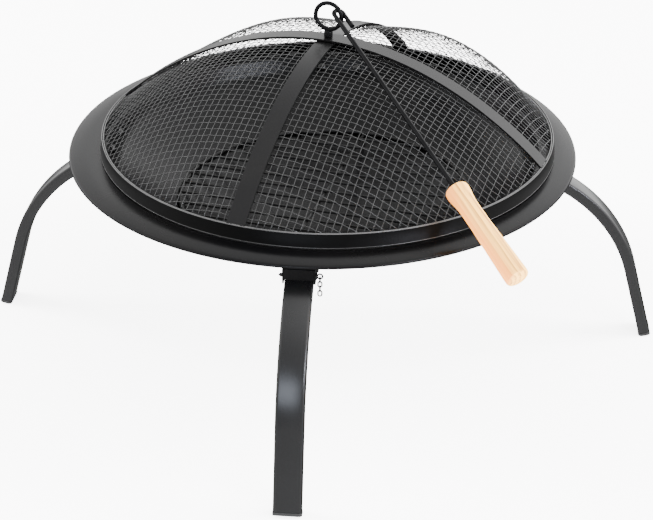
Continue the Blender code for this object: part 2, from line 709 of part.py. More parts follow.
def mesh_height(x, y, surface):
    """Height of the mesh: drawn down under the straps and crowned between them."""
    radius = math.hypot(x, y)
    away = min(abs(x), abs(y)) - STRAP_WIDTH / 2.0 - MESH_WIRE
    share = radius / DOME_RADIUS
    swell = math.sin(2.0 * math.atan2(y, x)) ** 2 * smooth(share / 0.7) * (1.0 - share ** 6)
    back_bulge = MESH_BULGE_RIGHT if x > 0.0 else MESH_BULGE_LEFT
    bulge = back_bulge if y > 0.0 else MESH_BULGE
    return height_at(surface, radius) + bulge * swell * smooth(away / MESH_FREE)


def lid_mesh_mesh():
    """Makes the mesh as a square lattice on the dome, closed by a wire along the hoop."""
    surface = mesh_surface()
    edge_radius = DOME_RADIUS - STRAP_THICKNESS - GAP - MESH_WIRE
    count = int(edge_radius / MESH_PITCH + 0.5)
    size = MESH_PITCH * (2 * count + 1)
    bm = bmesh.new()
    bmesh.ops.create_grid(bm, x_segments=2 * count + 1, y_segments=2 * count + 1, size=size / 2.0)
    outside = [face for face in bm.faces
               if face.calc_center_median().to_2d().length > edge_radius - 0.18 * MESH_PITCH]
    bmesh.ops.delete(bm, geom=outside, context="FACES")
    for vert in bm.verts:
        if vert.is_boundary:
            flat = vert.co.to_2d().normalized() * edge_radius
            vert.co.x = flat.x
            vert.co.y = flat.y
    bmesh.ops.remove_doubles(bm, verts=bm.verts, dist=MESH_PITCH * 0.05)
    for vert in bm.verts:
        vert.co.z = mesh_height(vert.co.x, vert.co.y, surface)
    grid = finished(bm, "lid_mesh")
    item = bpy.data.objects.new("lid_mesh", grid)
    frame = item.modifiers.new("Wireframe", "WIREFRAME")
    frame.thickness = MESH_WIRE
    frame.offset = 0.0
    frame.use_boundary = True
    frame.use_replace = True
    frame.use_even_offset = False
    return tidy_mesh(evaluated_mesh(item))


EYE_CENTRE_Z = CROWN_TOP + GAP + EYE_NECK_HEIGHT - EYE_WIRE * 0.7 + EYE_RADIUS + EYE_WIRE


def eye_bolt_mesh():
    """Makes the lifting ring, its neck and the shank through both straps."""
    ring = torus(EYE_RADIUS, EYE_WIRE, "eye_bolt", 28, 8)
    ring.transform(Matrix.Translation((0.0, 0.0, EYE_CENTRE_Z)) @ Matrix.Rotation(math.pi / 2.0, 4, "X"))
    foot = CROWN_TOP + GAP
    shank_end = NUT_SEAT - CROWN_NUT_HEIGHT - EYE_SHANK_PAST
    points = [(0.0, foot + EYE_NECK_HEIGHT), (EYE_NECK_RADIUS * 0.7, foot + EYE_NECK_HEIGHT),
              (EYE_NECK_RADIUS, foot + EYE_NECK_HEIGHT * 0.7), (EYE_NECK_RADIUS, foot),
              (EYE_SHANK_RADIUS, foot), (EYE_SHANK_RADIUS, shank_end), (0.0, shank_end)]
    return union(ring, turned(points, "eye_neck", 16, closed=False))


def crown_nut_mesh():
    mesh = nut_mesh(CROWN_NUT_RADIUS, CROWN_NUT_HEIGHT, EYE_SHANK_RADIUS + GAP, "crown_nut")
    mesh.transform(Matrix.Translation((0.0, 0.0, NUT_SEAT - CROWN_NUT_HEIGHT)))
    return mesh


# The poker's hook turns about the ring's limb
HOOK_RADIUS = EYE_WIRE + HOOK_PLAY + ROD_RADIUS
LIMB_OUT = math.sqrt(EYE_RADIUS ** 2 - HOOK_RISE ** 2)
HOOK_AXIS = Vector((LID_SHIFT[0] + LIMB_OUT * math.cos(LID_TURN),
                    LID_SHIFT[1] + LIMB_OUT * math.sin(LID_TURN), EYE_CENTRE_Z + HOOK_RISE))
ROD_ALONG = Vector((math.sin(ROD_AZIMUTH) * math.cos(ROD_SLOPE),
                    -math.cos(ROD_AZIMUTH) * math.cos(ROD_SLOPE), -math.sin(ROD_SLOPE)))
ROD_SIDE = Vector((math.cos(ROD_AZIMUTH), math.sin(ROD_AZIMUTH), 0.0))


def rod_point(along, across):
    """A point on the poker's plane, measured from the hook's axis."""
    return ROD_ALONG * along + ROD_SIDE * across


def poker_rod_mesh():
    """Makes the rod with its hairpin hook round the ring's limb; the hook's axis is the origin."""
    points = [rod_point(HANDLE_START + HANDLE_BORE_DEPTH - ROD_END_PLAY, -HOOK_RADIUS)]
    turns = 12
    for step in range(turns + 1):
        angle = -math.pi / 2.0 - math.pi * step / turns
        points.append(rod_point(HOOK_RADIUS * math.cos(angle), HOOK_RADIUS * math.sin(angle)))
    points.append(rod_point(HOOK_END, HOOK_RADIUS))
    return wire([tuple(point) for point in points], ROD_RADIUS, "poker_rod", 2)


def poker_handle_mesh():
    """Makes the turned wooden handle on the rod, with a bore that takes the rod's end."""
    length = HANDLE_LENGTH
    collar = HANDLE_COLLAR_RADIUS
    waist = HANDLE_WAIST_RADIUS
    end = HANDLE_END_RADIUS
    bore = ROD_RADIUS + GAP
    points = [(bore, HANDLE_BORE_DEPTH), (bore, 0.0), (collar * 0.86, 0.0), (collar * 0.97, 0.0012),
              (collar, 0.004), (collar * 0.97, 0.010), (waist * 1.06, 0.018), (waist, 0.025),
              (waist * 1.005, 0.040), (waist + (end - waist) * 0.35, length * 0.57),
              (waist + (end - waist) * 0.75, length * 0.80), (end, length * 0.95),
              (end * 0.99, length - 0.001), (end * 0.93, length), (0.0, length)]
    points = [(0.0, HANDLE_BORE_DEPTH)] + points
    mesh = turned(points, "poker_handle", 20, closed=False)
    place = Matrix.Translation(rod_point(HANDLE_START, -HOOK_RADIUS))
    mesh.transform(place @ ROD_ALONG.to_track_quat("Z", "Y").to_matrix().to_4x4())
    return mesh


def bowl_mesh():
    """Makes the pressed bowl with its turned-down rim and the holes for the brackets' bolts."""
    inner = inner_profile()
    outer = parallel(inner, BOWL_WALL)
    outer[0] = (0.0, inner[0][1] - BOWL_WALL)
    mesh = turned(inner + outer[::-1], "fire_bowl")
    for _, azimuth in LEGS:
        for side in (-1, 1):
            hole = bolt_hole(side)
            hole.transform(Matrix.Rotation(math.radians(azimuth), 4, "Z"))
            mesh = cut(mesh, hole)
    return mesh


clear_scene()
collection = bpy.data.collections.new("fire_pit")
bpy.context.scene.collection.children.link(collection)

BLACK_PAINT = material("black_paint", (0.028, 0.028, 0.030), 0.42, 0.0)
LEG_PAINT = material("leg_paint", (0.045, 0.045, 0.050), 0.45, 0.0)
BLACK_PLASTIC = material("black_plastic", (0.015, 0.015, 0.016), 0.55, 0.0)
DARK_STEEL = material("dark_steel", (0.060, 0.058, 0.056), 0.40, 0.8)
ZINC_STEEL = material("zinc_steel", (0.35, 0.35, 0.36), 0.35, 1.0)
MESH_BLACK = material("mesh_black", (0.030, 0.030, 0.031), 0.50, 0.0)
PALE_WOOD = material("pale_wood", (0.72, 0.52, 0.34), 0.55, 0.0)


def add(name, mesh, look, parent=None, place=None, angle=35.0):
    """Adds a named piece, placed in its parent's frame."""
    mesh.name = name
    item = bpy.data.objects.new(name, mesh)
    collection.objects.link(item)
    if not mesh.materials:
        mesh.materials.append(look)
    mesh.shade_smooth()
    mesh.set_sharp_from_angle(angle=math.radians(angle))
    if parent is not None:
        item.parent = parent
    item.matrix_local = place if place is not None else Matrix.Identity(4)
    return item


def empty(name, place):
    """Adds an empty that stands on a joint's axis."""
    item = bpy.data.objects.new(name, None)
    collection.objects.link(item)
    item.matrix_local = place
    return item


def moved(mesh, origin):
    """Moves a mesh so that the given point becomes its origin."""
    mesh.transform(Matrix.Translation(-Vector(origin)))
    return mesh


add("fire_bowl", bowl_mesh(), BLACK_PAINT)

PIVOT_PLACE = Vector((PIVOT_R, 0.0, PIVOT_Z))
LOCK_PLACE = Vector((LOCK_R, 0.0, LOCK_Z))
BRACKET = bracket_mesh()
LEG = moved(leg_mesh(), PIVOT_PLACE)
CAP = moved(cap_mesh(), PIVOT_PLACE)
PIVOT_PIN = pivot_pin_mesh()
LOCK_PIN = lock_pin_mesh()
CHAIN = chain_mesh()
BOLT = bolt_mesh()
NUT = nut_mesh(NUT_RADIUS, NUT_HEIGHT, BOLT_RADIUS + GAP, "bracket_nut")

for side_name, azimuth in LEGS:
    turn = Matrix.Rotation(math.radians(azimuth), 4, "Z")
    add(f"leg_bracket_{side_name}", BRACKET, BLACK_PAINT, place=turn)
    fold_axis = empty(f"fold_axis_{side_name}", turn @ Matrix.Translation(PIVOT_PLACE))
    add(f"leg_{side_name}", LEG, LEG_PAINT, fold_axis)
    add(f"foot_cap_{side_name}", CAP, BLACK_PLASTIC, fold_axis)
    add(f"pivot_pin_{side_name}", PIVOT_PIN, DARK_STEEL, place=turn @ Matrix.Translation(PIVOT_PLACE))
    lock_axis = empty(f"lock_axis_{side_name}", turn @ Matrix.Translation(LOCK_PLACE))
    add(f"lock_pin_{side_name}", LOCK_PIN, DARK_STEEL, lock_axis)
    add(f"pin_chain_{side_name}", CHAIN, DARK_STEEL, lock_axis)
    for number, side in ((1, -1), (2, 1)):
        place, out = bolt_place(side)
        aim = out.to_track_quat("Z", "Y").to_matrix().to_4x4()
        head = place - out * SEAT_GAP
        seat = place + out * (BOWL_WALL + 2.0 * GAP + SHEET)
        add(f"bracket_bolt_{side_name}_{number}", BOLT, DARK_STEEL,
            place=turn @ Matrix.Translation(head) @ aim)
        add(f"bracket_nut_{side_name}_{number}", NUT, ZINC_STEEL,
            place=turn @ Matrix.Translation(seat) @ aim)

add("grate", grate_mesh(), DARK_STEEL)

lid_frame = empty("lid_frame", Matrix.Translation((*LID_SHIFT, 0.0)) @ Matrix.Rotation(LID_TURN, 4, "Z"))
add("lid_hoop", hoop_mesh(), BLACK_PAINT, lid_frame)
lower_strap = strap_mesh(LOWER_DOME_RISE, "strap_lower")
lower_strap.transform(Matrix.Rotation(math.pi / 2.0, 4, "Z"))
add("strap_lower", lower_strap, BLACK_PAINT, lid_frame)
add("strap_upper", strap_mesh(DOME_RISE, "strap_upper"), BLACK_PAINT, lid_frame)
add("lid_mesh", lid_mesh_mesh(), MESH_BLACK, lid_frame)
add("eye_bolt", eye_bolt_mesh(), BLACK_PAINT, lid_frame)
add("crown_nut", crown_nut_mesh(), ZINC_STEEL, lid_frame)

hook_axis = empty("hook_axis", Matrix.Translation(HOOK_AXIS))
add("poker_rod", poker_rod_mesh(), DARK_STEEL, hook_axis)
add("poker_handle", poker_handle_mesh(), PALE_WOOD, hook_axis)
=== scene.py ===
# %% [markdown]
# # A folding fire bowl with a mesh lid
#
# The real object is a pressed steel bowl on four bent legs. A domed mesh lid stands on its rim, held in
# shape by two crossed straps, and a poker with a wooden handle hangs in the lid's ring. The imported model
# gives every solid and every joint, and this lesson dresses it with finer pieces and finishes.

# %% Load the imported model
import math

import bmesh
import bpy
from mathutils import Matrix, Vector


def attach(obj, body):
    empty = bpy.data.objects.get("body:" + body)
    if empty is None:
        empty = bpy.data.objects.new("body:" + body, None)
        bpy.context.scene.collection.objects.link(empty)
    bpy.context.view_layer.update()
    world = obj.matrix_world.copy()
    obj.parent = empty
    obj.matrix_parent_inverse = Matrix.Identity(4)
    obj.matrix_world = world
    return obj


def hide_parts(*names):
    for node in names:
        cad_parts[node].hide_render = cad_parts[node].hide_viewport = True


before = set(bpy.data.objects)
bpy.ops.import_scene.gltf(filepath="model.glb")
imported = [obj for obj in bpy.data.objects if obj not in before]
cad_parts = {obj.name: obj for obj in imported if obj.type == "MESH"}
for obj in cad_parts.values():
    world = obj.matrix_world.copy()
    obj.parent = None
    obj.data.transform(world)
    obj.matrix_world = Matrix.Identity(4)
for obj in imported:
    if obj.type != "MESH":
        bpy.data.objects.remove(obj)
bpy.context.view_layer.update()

# %% [markdown]
# ## Sizes
#
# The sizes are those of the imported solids, in metres. A finer piece that follows the same numbers lands
# exactly where the solid stands, so nothing has to be fitted by eye. Everything is first made for the leg on
# the +X side, or round the Z axis, and is then turned to its place.

# %% Sizes of the bowl
RIM_RADIUS = 0.280
RIM_HEIGHT = 0.228
RIM_LIP = 0.0056
RIM_ROUND = 0.0028
FLANGE_CROWN = 0.0008
FLANGE_DROP = 0.0022
FLANGE_CURVE = 1.7
ROLL_START = 78.0
MOUTH_RADIUS = 0.2395
MOUTH_ROUND = 0.0030
SHOULDER_RADIUS = 0.230
SHOULDER_Z = RIM_HEIGHT - 0.024
BOTTOM_Z = RIM_HEIGHT - 0.1127
BOWL_WALL = 0.0014
GAP = 0.0003
SEAT_GAP = 0.0005
BELLY_RISE = SHOULDER_Z - BOTTOM_Z
BELLY_RADIUS = (SHOULDER_RADIUS ** 2 + BELLY_RISE ** 2) / (2.0 * BELLY_RISE)
BELLY_CENTRE = BOTTOM_Z + BELLY_RADIUS
WALL_LEAN = math.atan2(MOUTH_RADIUS - SHOULDER_RADIUS, RIM_HEIGHT - SHOULDER_Z)
WALL_OUT = Vector((math.cos(WALL_LEAN), 0.0, -math.sin(WALL_LEAN)))
print("belly radius:", round(BELLY_RADIUS, 4))

# %% Sizes of the legs and their brackets
LEGS = {"front": -90.0, "right": 0.0, "back": 90.0, "left": 180.0}
LEG_WIDTH = 0.0287
LEG_THICKNESS = 0.0129
LEG_CORNER = 0.0030
LEG_UPPER_SLOPE = math.radians(29.9)
LEG_SPLAY = math.radians(16.1)
LEG_BEND_RADIUS = 0.17185
LEG_UPPER_LENGTH = 0.0339
LEG_PAST_PIVOT = 0.0060
CAP_LIP = 0.0035
CAP_RIM = 0.0004
SOLE_WIDTH = 0.0036
PIVOT = Vector((0.243733, 0.0, 0.2031))
LOCK = Vector((0.260233, 0.0, 0.203706))
SHEET = 0.0018
CHEEK = 0.0015
CHEEK_INSIDE = LEG_WIDTH / 2.0 + 0.00065
CHEEK_OUTSIDE = CHEEK_INSIDE + CHEEK
CHEEK_BOTTOM = PIVOT.z - 0.0085
CHEEK_CORNER = 0.0025
FRONT_X = PIVOT.x + 0.0206
FRONT_TOP = RIM_HEIGHT - 0.0160
TOP_RUN = 0.014
EAR_TOP = RIM_HEIGHT - 0.0065
EAR_BOTTOM = RIM_HEIGHT - 0.0225
EAR_WIDTH = 0.0125
BOLT_DROP = 0.0135
BOLT_SPREAD = 0.0215
print("bracket width:", round(2.0 * CHEEK_OUTSIDE, 4))

# %% Sizes of the lid and the poker
LID_PLACE = Matrix.Translation((0.0055, 0.0005, 0.0)) @ Matrix.Rotation(math.radians(-16.7), 4, "Z")
HOOP_BOTTOM = RIM_HEIGHT + SEAT_GAP
HOOP_TOP = HOOP_BOTTOM + 0.0152
HOOP_RADIUS = 0.2503
HOOP_TOP_RADIUS = 0.2486
HOOP_WALL = 0.0015
DOME_RADIUS = 0.2463
DOME_RISE = 0.1060
DOME_FULLNESS = 0.95
CROWN_TOP = HOOP_TOP + DOME_RISE
STRAP_WIDTH = 0.020
STRAP_THICKNESS = 0.0020
STRAP_TAB = 0.010
STRAP_STEP = 0.0028
MESH_PITCH = 0.0072
MESH_WIRE = 0.00036
MESH_BULGE = 0.0055
MESH_BULGE_LEFT = 0.0092
MESH_BULGE_RIGHT = 0.0180
MESH_BELOW = 0.0032
MESH_EDGE = DOME_RADIUS - 0.0007
EYE_RADIUS = 0.0147
EYE_WIRE = 0.0024
EYE_CENTRE = Vector((0.0, 0.0, 0.37292))
HOOK_AXIS = Vector((0.019449, -0.003685, 0.37492))
ROD_RADIUS = 0.0025
HOOK_RADIUS = EYE_WIRE + 0.0013 + ROD_RADIUS
ROD_SLOPE = math.radians(22.0)
ROD_AZIMUTH = math.radians(34.2)
ROD_ALONG = Vector((math.sin(ROD_AZIMUTH) * math.cos(ROD_SLOPE),
                    -math.cos(ROD_AZIMUTH) * math.cos(ROD_SLOPE), -math.sin(ROD_SLOPE)))
ROD_SIDE = Vector((math.cos(ROD_AZIMUTH), math.sin(ROD_AZIMUTH), 0.0))
HANDLE_START = 0.2588
HANDLE_LENGTH = 0.1182
print("crown of the lid:", round(CROWN_TOP, 4))

# %% [markdown]
# ## Finishes
#
# A paint film isn't one flat colour. It has a faint orange-peel ripple, slow changes of gloss, and specks
# of dust that catch the light. Each finish below is a Principled shader whose colour, roughness and bump
# come from noise on Object coordinates, so it stays on the piece from every side and in every pose.
#
# Heat-proof paint on such bowls is a deep satin black. Nearly all that the eye sees of it is reflected
# light, so its own colour is very dark, and its specular level and its roughness decide the look.
#
# A few small helpers come first. One starts a material, and the others add a shader node and set its inputs
# to what they are given.

# %% Helpers for shader nodes
RELIEF_DEPTH = 0.0002


def new_look(name):
    """Starts a material, and returns it with its node tree."""
    look = bpy.data.materials.new(name)
    look.use_nodes = True
    return look, look.node_tree


def fill(tree, node, inputs):
    """Sets a node's inputs. An input that is given a socket is linked to it."""
    for name, value in inputs.items():
        if isinstance(value, bpy.types.NodeSocket):
            tree.links.new(value, node.inputs[name])
        else:
            node.inputs[name].default_value = value


def add_node(tree, kind, inputs, **options):
    """Adds a shader node, and returns its outputs."""
    node = tree.nodes.new("ShaderNode" + kind)
    for name, value in options.items():
        setattr(node, name, value)
    fill(tree, node, inputs)
    return node.outputs


def noise(tree, place, scale, detail):
    """Adds a noise texture."""
    return add_node(tree, "TexNoise", {"Vector": place, "Scale": scale, "Detail": detail})["Fac"]


def map_range(tree, value, source, target, **options):
    """Turns one range of values into another."""
    inputs = {"Value": value, "From Min": source[0], "From Max": source[1],
              "To Min": target[0], "To Max": target[1]}
    return add_node(tree, "MapRange", inputs, **options)["Result"]


def math_node(tree, operation, first, second):
    """Adds a Math node on two sockets or numbers."""
    return add_node(tree, "Math", {0: first, 1: second}, operation=operation)["Value"]


def mixed(tree, share, first, second):
    """Mixes two colours."""
    return add_node(tree, "Mix", {"Factor": share, "A": first, "B": second}, data_type="RGBA")["Result"]


def relief(tree, height, strength):
    """Adds a fine relief, and returns its normal."""
    inputs = {"Height": height, "Strength": strength, "Distance": RELIEF_DEPTH}
    return add_node(tree, "Bump", inputs)["Normal"]


def ramp_between(tree, source, colours, places):
    """Adds a colour ramp between two colours."""
    ramp = tree.nodes.new("ShaderNodeValToRGB")
    for element, colour, place in zip(ramp.color_ramp.elements, colours, places):
        element.position = place
        element.color = (*colour, 1.0)
    tree.links.new(source, ramp.inputs["Fac"])
    return ramp.outputs["Color"]


# %% A helper that builds one finish
CLOUD_RANGE = (0.32, 0.70)
GLOSS_RANGE = (0.3, 0.7)
SPECK_RANGE = (0.66, 0.74)
SPECK_FINENESS = 55.0
DUST = (0.35, 0.35, 0.36, 1.0)


def finish(name, dark, light, gloss, clouds, ripple, dust=0.03, metallic=0.0, specular=0.5):
    """Makes a finish. gloss is (roughness, spread), clouds a scale, ripple (scale, strength)."""
    look, tree = new_look(name)
    place = add_node(tree, "TexCoord", {})["Object"]
    cloud = noise(tree, place, clouds, detail=5.0)
    speck = noise(tree, place, clouds * SPECK_FINENESS, detail=2.0)
    peel = noise(tree, place, ripple[0], detail=3.0)
    paint = ramp_between(tree, cloud, (dark, light), CLOUD_RANGE)
    specks = map_range(tree, speck, SPECK_RANGE, (0.0, dust))
    fill(tree, tree.nodes["Principled BSDF"], {
        "Base Color": mixed(tree, specks, paint, DUST),
        "Roughness": map_range(tree, cloud, GLOSS_RANGE, (gloss[0] - gloss[1], gloss[0] + gloss[1])),
        "Metallic": metallic,
        "Specular IOR Level": specular,
        "Normal": relief(tree, peel, ripple[1]),
    })
    return look


# %% The finishes
BOWL_PAINT = finish("bowl_paint", (0.0010, 0.0010, 0.0012), (0.0018, 0.0017, 0.0017), (0.26, 0.03), 9.0,
                    (900.0, 0.10), dust=0.01, specular=0.092)
LID_PAINT = finish("lid_paint", (0.0014, 0.0014, 0.0016), (0.0024, 0.0023, 0.0023), (0.32, 0.04), 14.0,
                   (1100.0, 0.12), dust=0.01, specular=0.13)
LEG_PAINT = finish("leg_paint", (0.0016, 0.0016, 0.0018), (0.0026, 0.0026, 0.0028), (0.26, 0.03), 12.0,
                   (1000.0, 0.10), dust=0.01, specular=0.31)
MESH_PAINT = finish("mesh_paint", (0.0040, 0.0040, 0.0040), (0.0080, 0.0079, 0.0079), (0.26, 0.05), 40.0,
                    (2500.0, 0.10), specular=0.58)
# A darker copy of the black paint for the hoop: painted shade for its outer face, which stands in shade.
HOOP_SHADED_PAINT = finish("hoop_shaded_paint", (0.0004, 0.0004, 0.0004), (0.0008, 0.0008, 0.0008), (0.34, 0.04), 14.0,
                    (1100.0, 0.12), dust=0.004, specular=0.035)
# A lighter, glossier paint for thin wires on the hoop's edges: painted highlight.
LINE_HIGHLIGHT_PAINT = finish("line_highlight_paint", (0.010, 0.010, 0.010), (0.022, 0.021, 0.021), (0.30, 0.05), 60.0,
                    (2000.0, 0.15), dust=0.02, specular=0.8)
BRACKET_PAINT = finish("bracket_paint", (0.0010, 0.0010, 0.0011), (0.0018, 0.0017, 0.0018), (0.32, 0.04),
                       30.0, (1400.0, 0.12), dust=0.01, specular=0.05)
BOLT_STEEL = finish("bolt_steel", (0.0010, 0.0010, 0.0010), (0.0025, 0.0024, 0.0024), (0.14, 0.03), 90.0,
                    (2600.0, 0.05), dust=0.01, specular=0.30)
CAP_PLASTIC = finish("cap_plastic", (0.004, 0.004, 0.004), (0.008, 0.008, 0.008), (0.55, 0.06), 60.0,
                     (3000.0, 0.25))
GRATE_STEEL = finish("grate_steel", (0.0012, 0.0012, 0.0012), (0.0030, 0.0028, 0.0026), (0.48, 0.08), 45.0,
                     (1800.0, 0.3), dust=0.01, specular=0.20)
PIN_STEEL = finish("pin_steel", (0.008, 0.008, 0.008), (0.030, 0.028, 0.027), (0.30, 0.08), 70.0,
                   (2400.0, 0.2), metallic=0.6, specular=0.2)
NUT_ZINC = finish("nut_zinc", (0.16, 0.16, 0.17), (0.30, 0.30, 0.31), (0.34, 0.08), 90.0,
                  (2600.0, 0.2), metallic=1.0)
ROD_PAINT = finish("rod_paint", (0.0014, 0.0014, 0.0016), (0.0026, 0.0026, 0.0028), (0.22, 0.04), 60.0,
                   (2000.0, 0.10), dust=0.01, specular=0.05)
print("finishes:", len([look for look in bpy.data.materials if look.use_nodes]))

# %% [markdown]
# ## A helper for pieces
#
# Every piece needs the same few steps: write its mesh, shade it smooth up to a sharp angle, give it its
# finish, let it ride on its body and hide the imported solid that it stands for. One function keeps that in
# one place. A second one rounds the sharp edges with a Bevel modifier, because a pressed or cut edge is
# never a knife.

# %% The helper that finishes a piece
def piece(name, bm, look, body, stands_for, sharp=35.0, recalc=True):
    """Turns a bmesh into a finished piece that rides on a body."""
    if recalc:
        bmesh.ops.recalc_face_normals(bm, faces=bm.faces)
    mesh = bpy.data.meshes.new(name)
    bm.to_mesh(mesh)
    bm.free()
    mesh.shade_smooth()
    mesh.set_sharp_from_angle(angle=math.radians(sharp))
    item = bpy.data.objects.new(name, mesh)
    bpy.context.scene.collection.objects.link(item)
    mesh.materials.append(look)
    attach(item, body)
    if stands_for:
        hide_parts(*stands_for)
    return item


EDGE_ROUND = 0.0004


def edged(item):
    """Rounds a piece's sharp edges with a small bevel."""
    bevel = item.modifiers.new("Edge", "BEVEL")
    bevel.width = EDGE_ROUND
    bevel.segments = 2
    bevel.limit_method = "ANGLE"
    bevel.angle_limit = math.radians(40.0)


def placed(bm, matrix):
    """Moves a whole bmesh."""
    bmesh.ops.transform(bm, matrix=matrix, verts=bm.verts)
    return bm


def leg_turn(side):
    """The turn that takes a piece made for the right leg to another leg."""
    return Matrix.Rotation(math.radians(LEGS[side]), 4, "Z")


# %% [markdown]
# ## Helpers for shapes
#
# Three kinds of shape make nearly all of this object. A turned piece is a profile spun round an axis. A
# sheet piece is an outline filled and extruded to its thickness. A wire is a curve with a round bevel, which
# is turned into a mesh so that it can be placed like the rest.

# %% Turned pieces and sheet pieces
ORIGIN = (0.0, 0.0, 0.0)
UP = (0.0, 0.0, 1.0)
MERGE = 1e-6


def spun(profile, steps, closed=True):
    """Spins a profile of (radius, height) points once round the Z axis."""
    bm = bmesh.new()
    verts = [bm.verts.new((radius, 0.0, height)) for radius, height in profile]
    edges = [bm.edges.new(pair) for pair in zip(verts[:-1], verts[1:])]
    if closed:
        edges.append(bm.edges.new((verts[-1], verts[0])))
    bmesh.ops.spin(bm, geom=verts + edges, cent=ORIGIN, axis=UP, angle=2.0 * math.pi, steps=steps,
                   use_merge=True)
    bmesh.ops.remove_doubles(bm, verts=bm.verts, dist=MERGE)
    return bm


def only(kind, parts):
    """Keeps the parts of one kind."""
    return [part for part in parts if isinstance(part, kind)]


def thickened(bm, face, move):
    """Extrudes one face of a bmesh."""
    far = only(bmesh.types.BMVert, bmesh.ops.extrude_face_region(bm, geom=[face])["geom"])
    bmesh.ops.translate(bm, verts=far, vec=move)
    return bm


def slab(outline, first, last):
    """Fills an outline of (x, z) points and extrudes it along Y."""
    bm = bmesh.new()
    face = bm.faces.new([bm.verts.new((x, first, z)) for x, z in outline])
    return thickened(bm, face, (0.0, last - first, 0.0))


def joined(*parts):
    """Puts several bmeshes into one."""
    whole = bmesh.new()
    for part in parts:
        spare = bpy.data.meshes.new("spare")
        part.to_mesh(spare)
        part.free()
        whole.from_mesh(spare)
        bpy.data.meshes.remove(spare)
    return whole


def arc(centre, radius, first, last, steps):
    """Lists points on an arc in a profile's plane, angles in degrees."""
    points = []
    for step in range(steps + 1):
        angle = math.radians(first + (last - first) * step / steps)
        points.append((centre[0] + radius * math.cos(angle), centre[1] + radius * math.sin(angle)))
    return points


def shifted(points, distance):
    """Shifts a profile sideways, to the right of its direction."""
    result = []
    for index, here in enumerate(points):
        here = Vector(here)
        before = Vector(points[max(index - 1, 0)])
        after = Vector(points[min(index + 1, len(points) - 1)])
        along = (after - before).normalized()
        result.append(tuple(here + Vector((along.y, -along.x)) * distance))
    return result


# %% Wires
def wires(lines, radius, resolution, cyclic=False):
    """Makes round wires along lists of points, as one bmesh."""
    curve = bpy.data.curves.new("wires", "CURVE")
    curve.dimensions = "3D"
    curve.bevel_depth = radius
    curve.bevel_resolution = resolution
    curve.use_fill_caps = True
    for line in lines:
        spline = curve.splines.new("POLY")
        spline.points.add(len(line) - 1)
        for point, place in zip(spline.points, line):
            point.co = (*place, 1.0)
        spline.use_cyclic_u = cyclic
    holder = bpy.data.objects.new("wires", curve)
    bpy.context.scene.collection.objects.link(holder)
    graph = bpy.context.evaluated_depsgraph_get()
    mesh = bpy.data.meshes.new_from_object(holder.evaluated_get(graph))
    bpy.data.objects.remove(holder, do_unlink=True)
    bm = bmesh.new()
    bm.from_mesh(mesh)
    bpy.data.meshes.remove(mesh)
    bmesh.ops.remove_doubles(bm, verts=bm.verts, dist=MERGE)
    return bm


def circle_points(radius, height, count):
    """Lists points round a circle."""
    points = []
    for step in range(count):
        angle = 2.0 * math.pi * step / count
        points.append((radius * math.cos(angle), radius * math.sin(angle), height))
    return points


# %% [markdown]
# ## The bowl
#
# The bowl is one pressing: a round belly, a short steep wall, a broad rim and an edge turned down. A single
# profile of its upper side, spun round the axis and given its sheet thickness, makes all of it. The rim's
# outer half falls gently to its rolled edge. Most of the light shows there, so the roll gets eight steps.

# %% Bowl
RIM_STEPS = 256


def bowl_profile():
    """The bowl's upper side from its centre to its outer edge."""
    reach = math.degrees(math.asin(SHOULDER_RADIUS / BELLY_RADIUS))
    points = arc((0.0, BELLY_CENTRE), BELLY_RADIUS, -90.0, -90.0 + reach, 40)
    points[0] = (0.0, BOTTOM_Z)
    lean = Vector((math.sin(WALL_LEAN), math.cos(WALL_LEAN)))
    mouth = Vector((MOUTH_RADIUS, RIM_HEIGHT))
    start = mouth - lean * MOUTH_ROUND
    end = mouth + Vector((MOUTH_ROUND, -FLANGE_CROWN / 4.0))
    points.append(tuple(Vector(points[-1]).lerp(start, 0.5)))
    for step in range(7):
        share = step / 6.0
        points.append(tuple(start.lerp(mouth, share).lerp(mouth.lerp(end, share), share)))
    middle = (MOUTH_RADIUS + RIM_RADIUS) / 2.0
    points.append(((points[-1][0] + middle) / 2.0, RIM_HEIGHT - FLANGE_CROWN / 8.0))
    points.append((middle, RIM_HEIGHT))
    for share in (0.2, 0.4, 0.6, 0.8):
        drop = FLANGE_DROP * share ** FLANGE_CURVE
        points.append((middle + (RIM_RADIUS - RIM_ROUND - middle) * share, RIM_HEIGHT - drop))
    roll_centre = (RIM_RADIUS - RIM_ROUND, RIM_HEIGHT - FLANGE_DROP - RIM_ROUND)
    points += arc(roll_centre, RIM_ROUND, ROLL_START, 0.0, 8)
    points.append((RIM_RADIUS, RIM_HEIGHT - RIM_LIP))
    return points


upper_side = bowl_profile()
under_side = shifted(upper_side, BOWL_WALL)
under_side[0] = (0.0, BOTTOM_Z - BOWL_WALL)
bowl = piece("bowl", spun(upper_side + under_side[::-1], RIM_STEPS), BOWL_PAINT, "base",
             ("fire_bowl",), sharp=50.0)
print("bowl faces:", len(bowl.data.polygons))

# %% [markdown]
# ## The legs
#
# Each leg is a flat-sided steel tube. Its section is a rectangle with round corners. It is extruded up the
# straight lower part, spun round the bend's centre, and extruded again up to the pivot.

# %% The leg's line
def rounded_section(half_width, half_height, corner, steps=4):
    """Lists the corners of a rectangle with round corners."""
    points = []
    for index, (sx, sy) in enumerate(((1, 1), (-1, 1), (-1, -1), (1, -1))):
        for step in range(steps + 1):
            angle = math.pi / 2.0 * (index + step / steps)
            points.append((sx * (half_width - corner) + corner * math.cos(angle),
                           sy * (half_height - corner) + corner * math.sin(angle)))
    return points


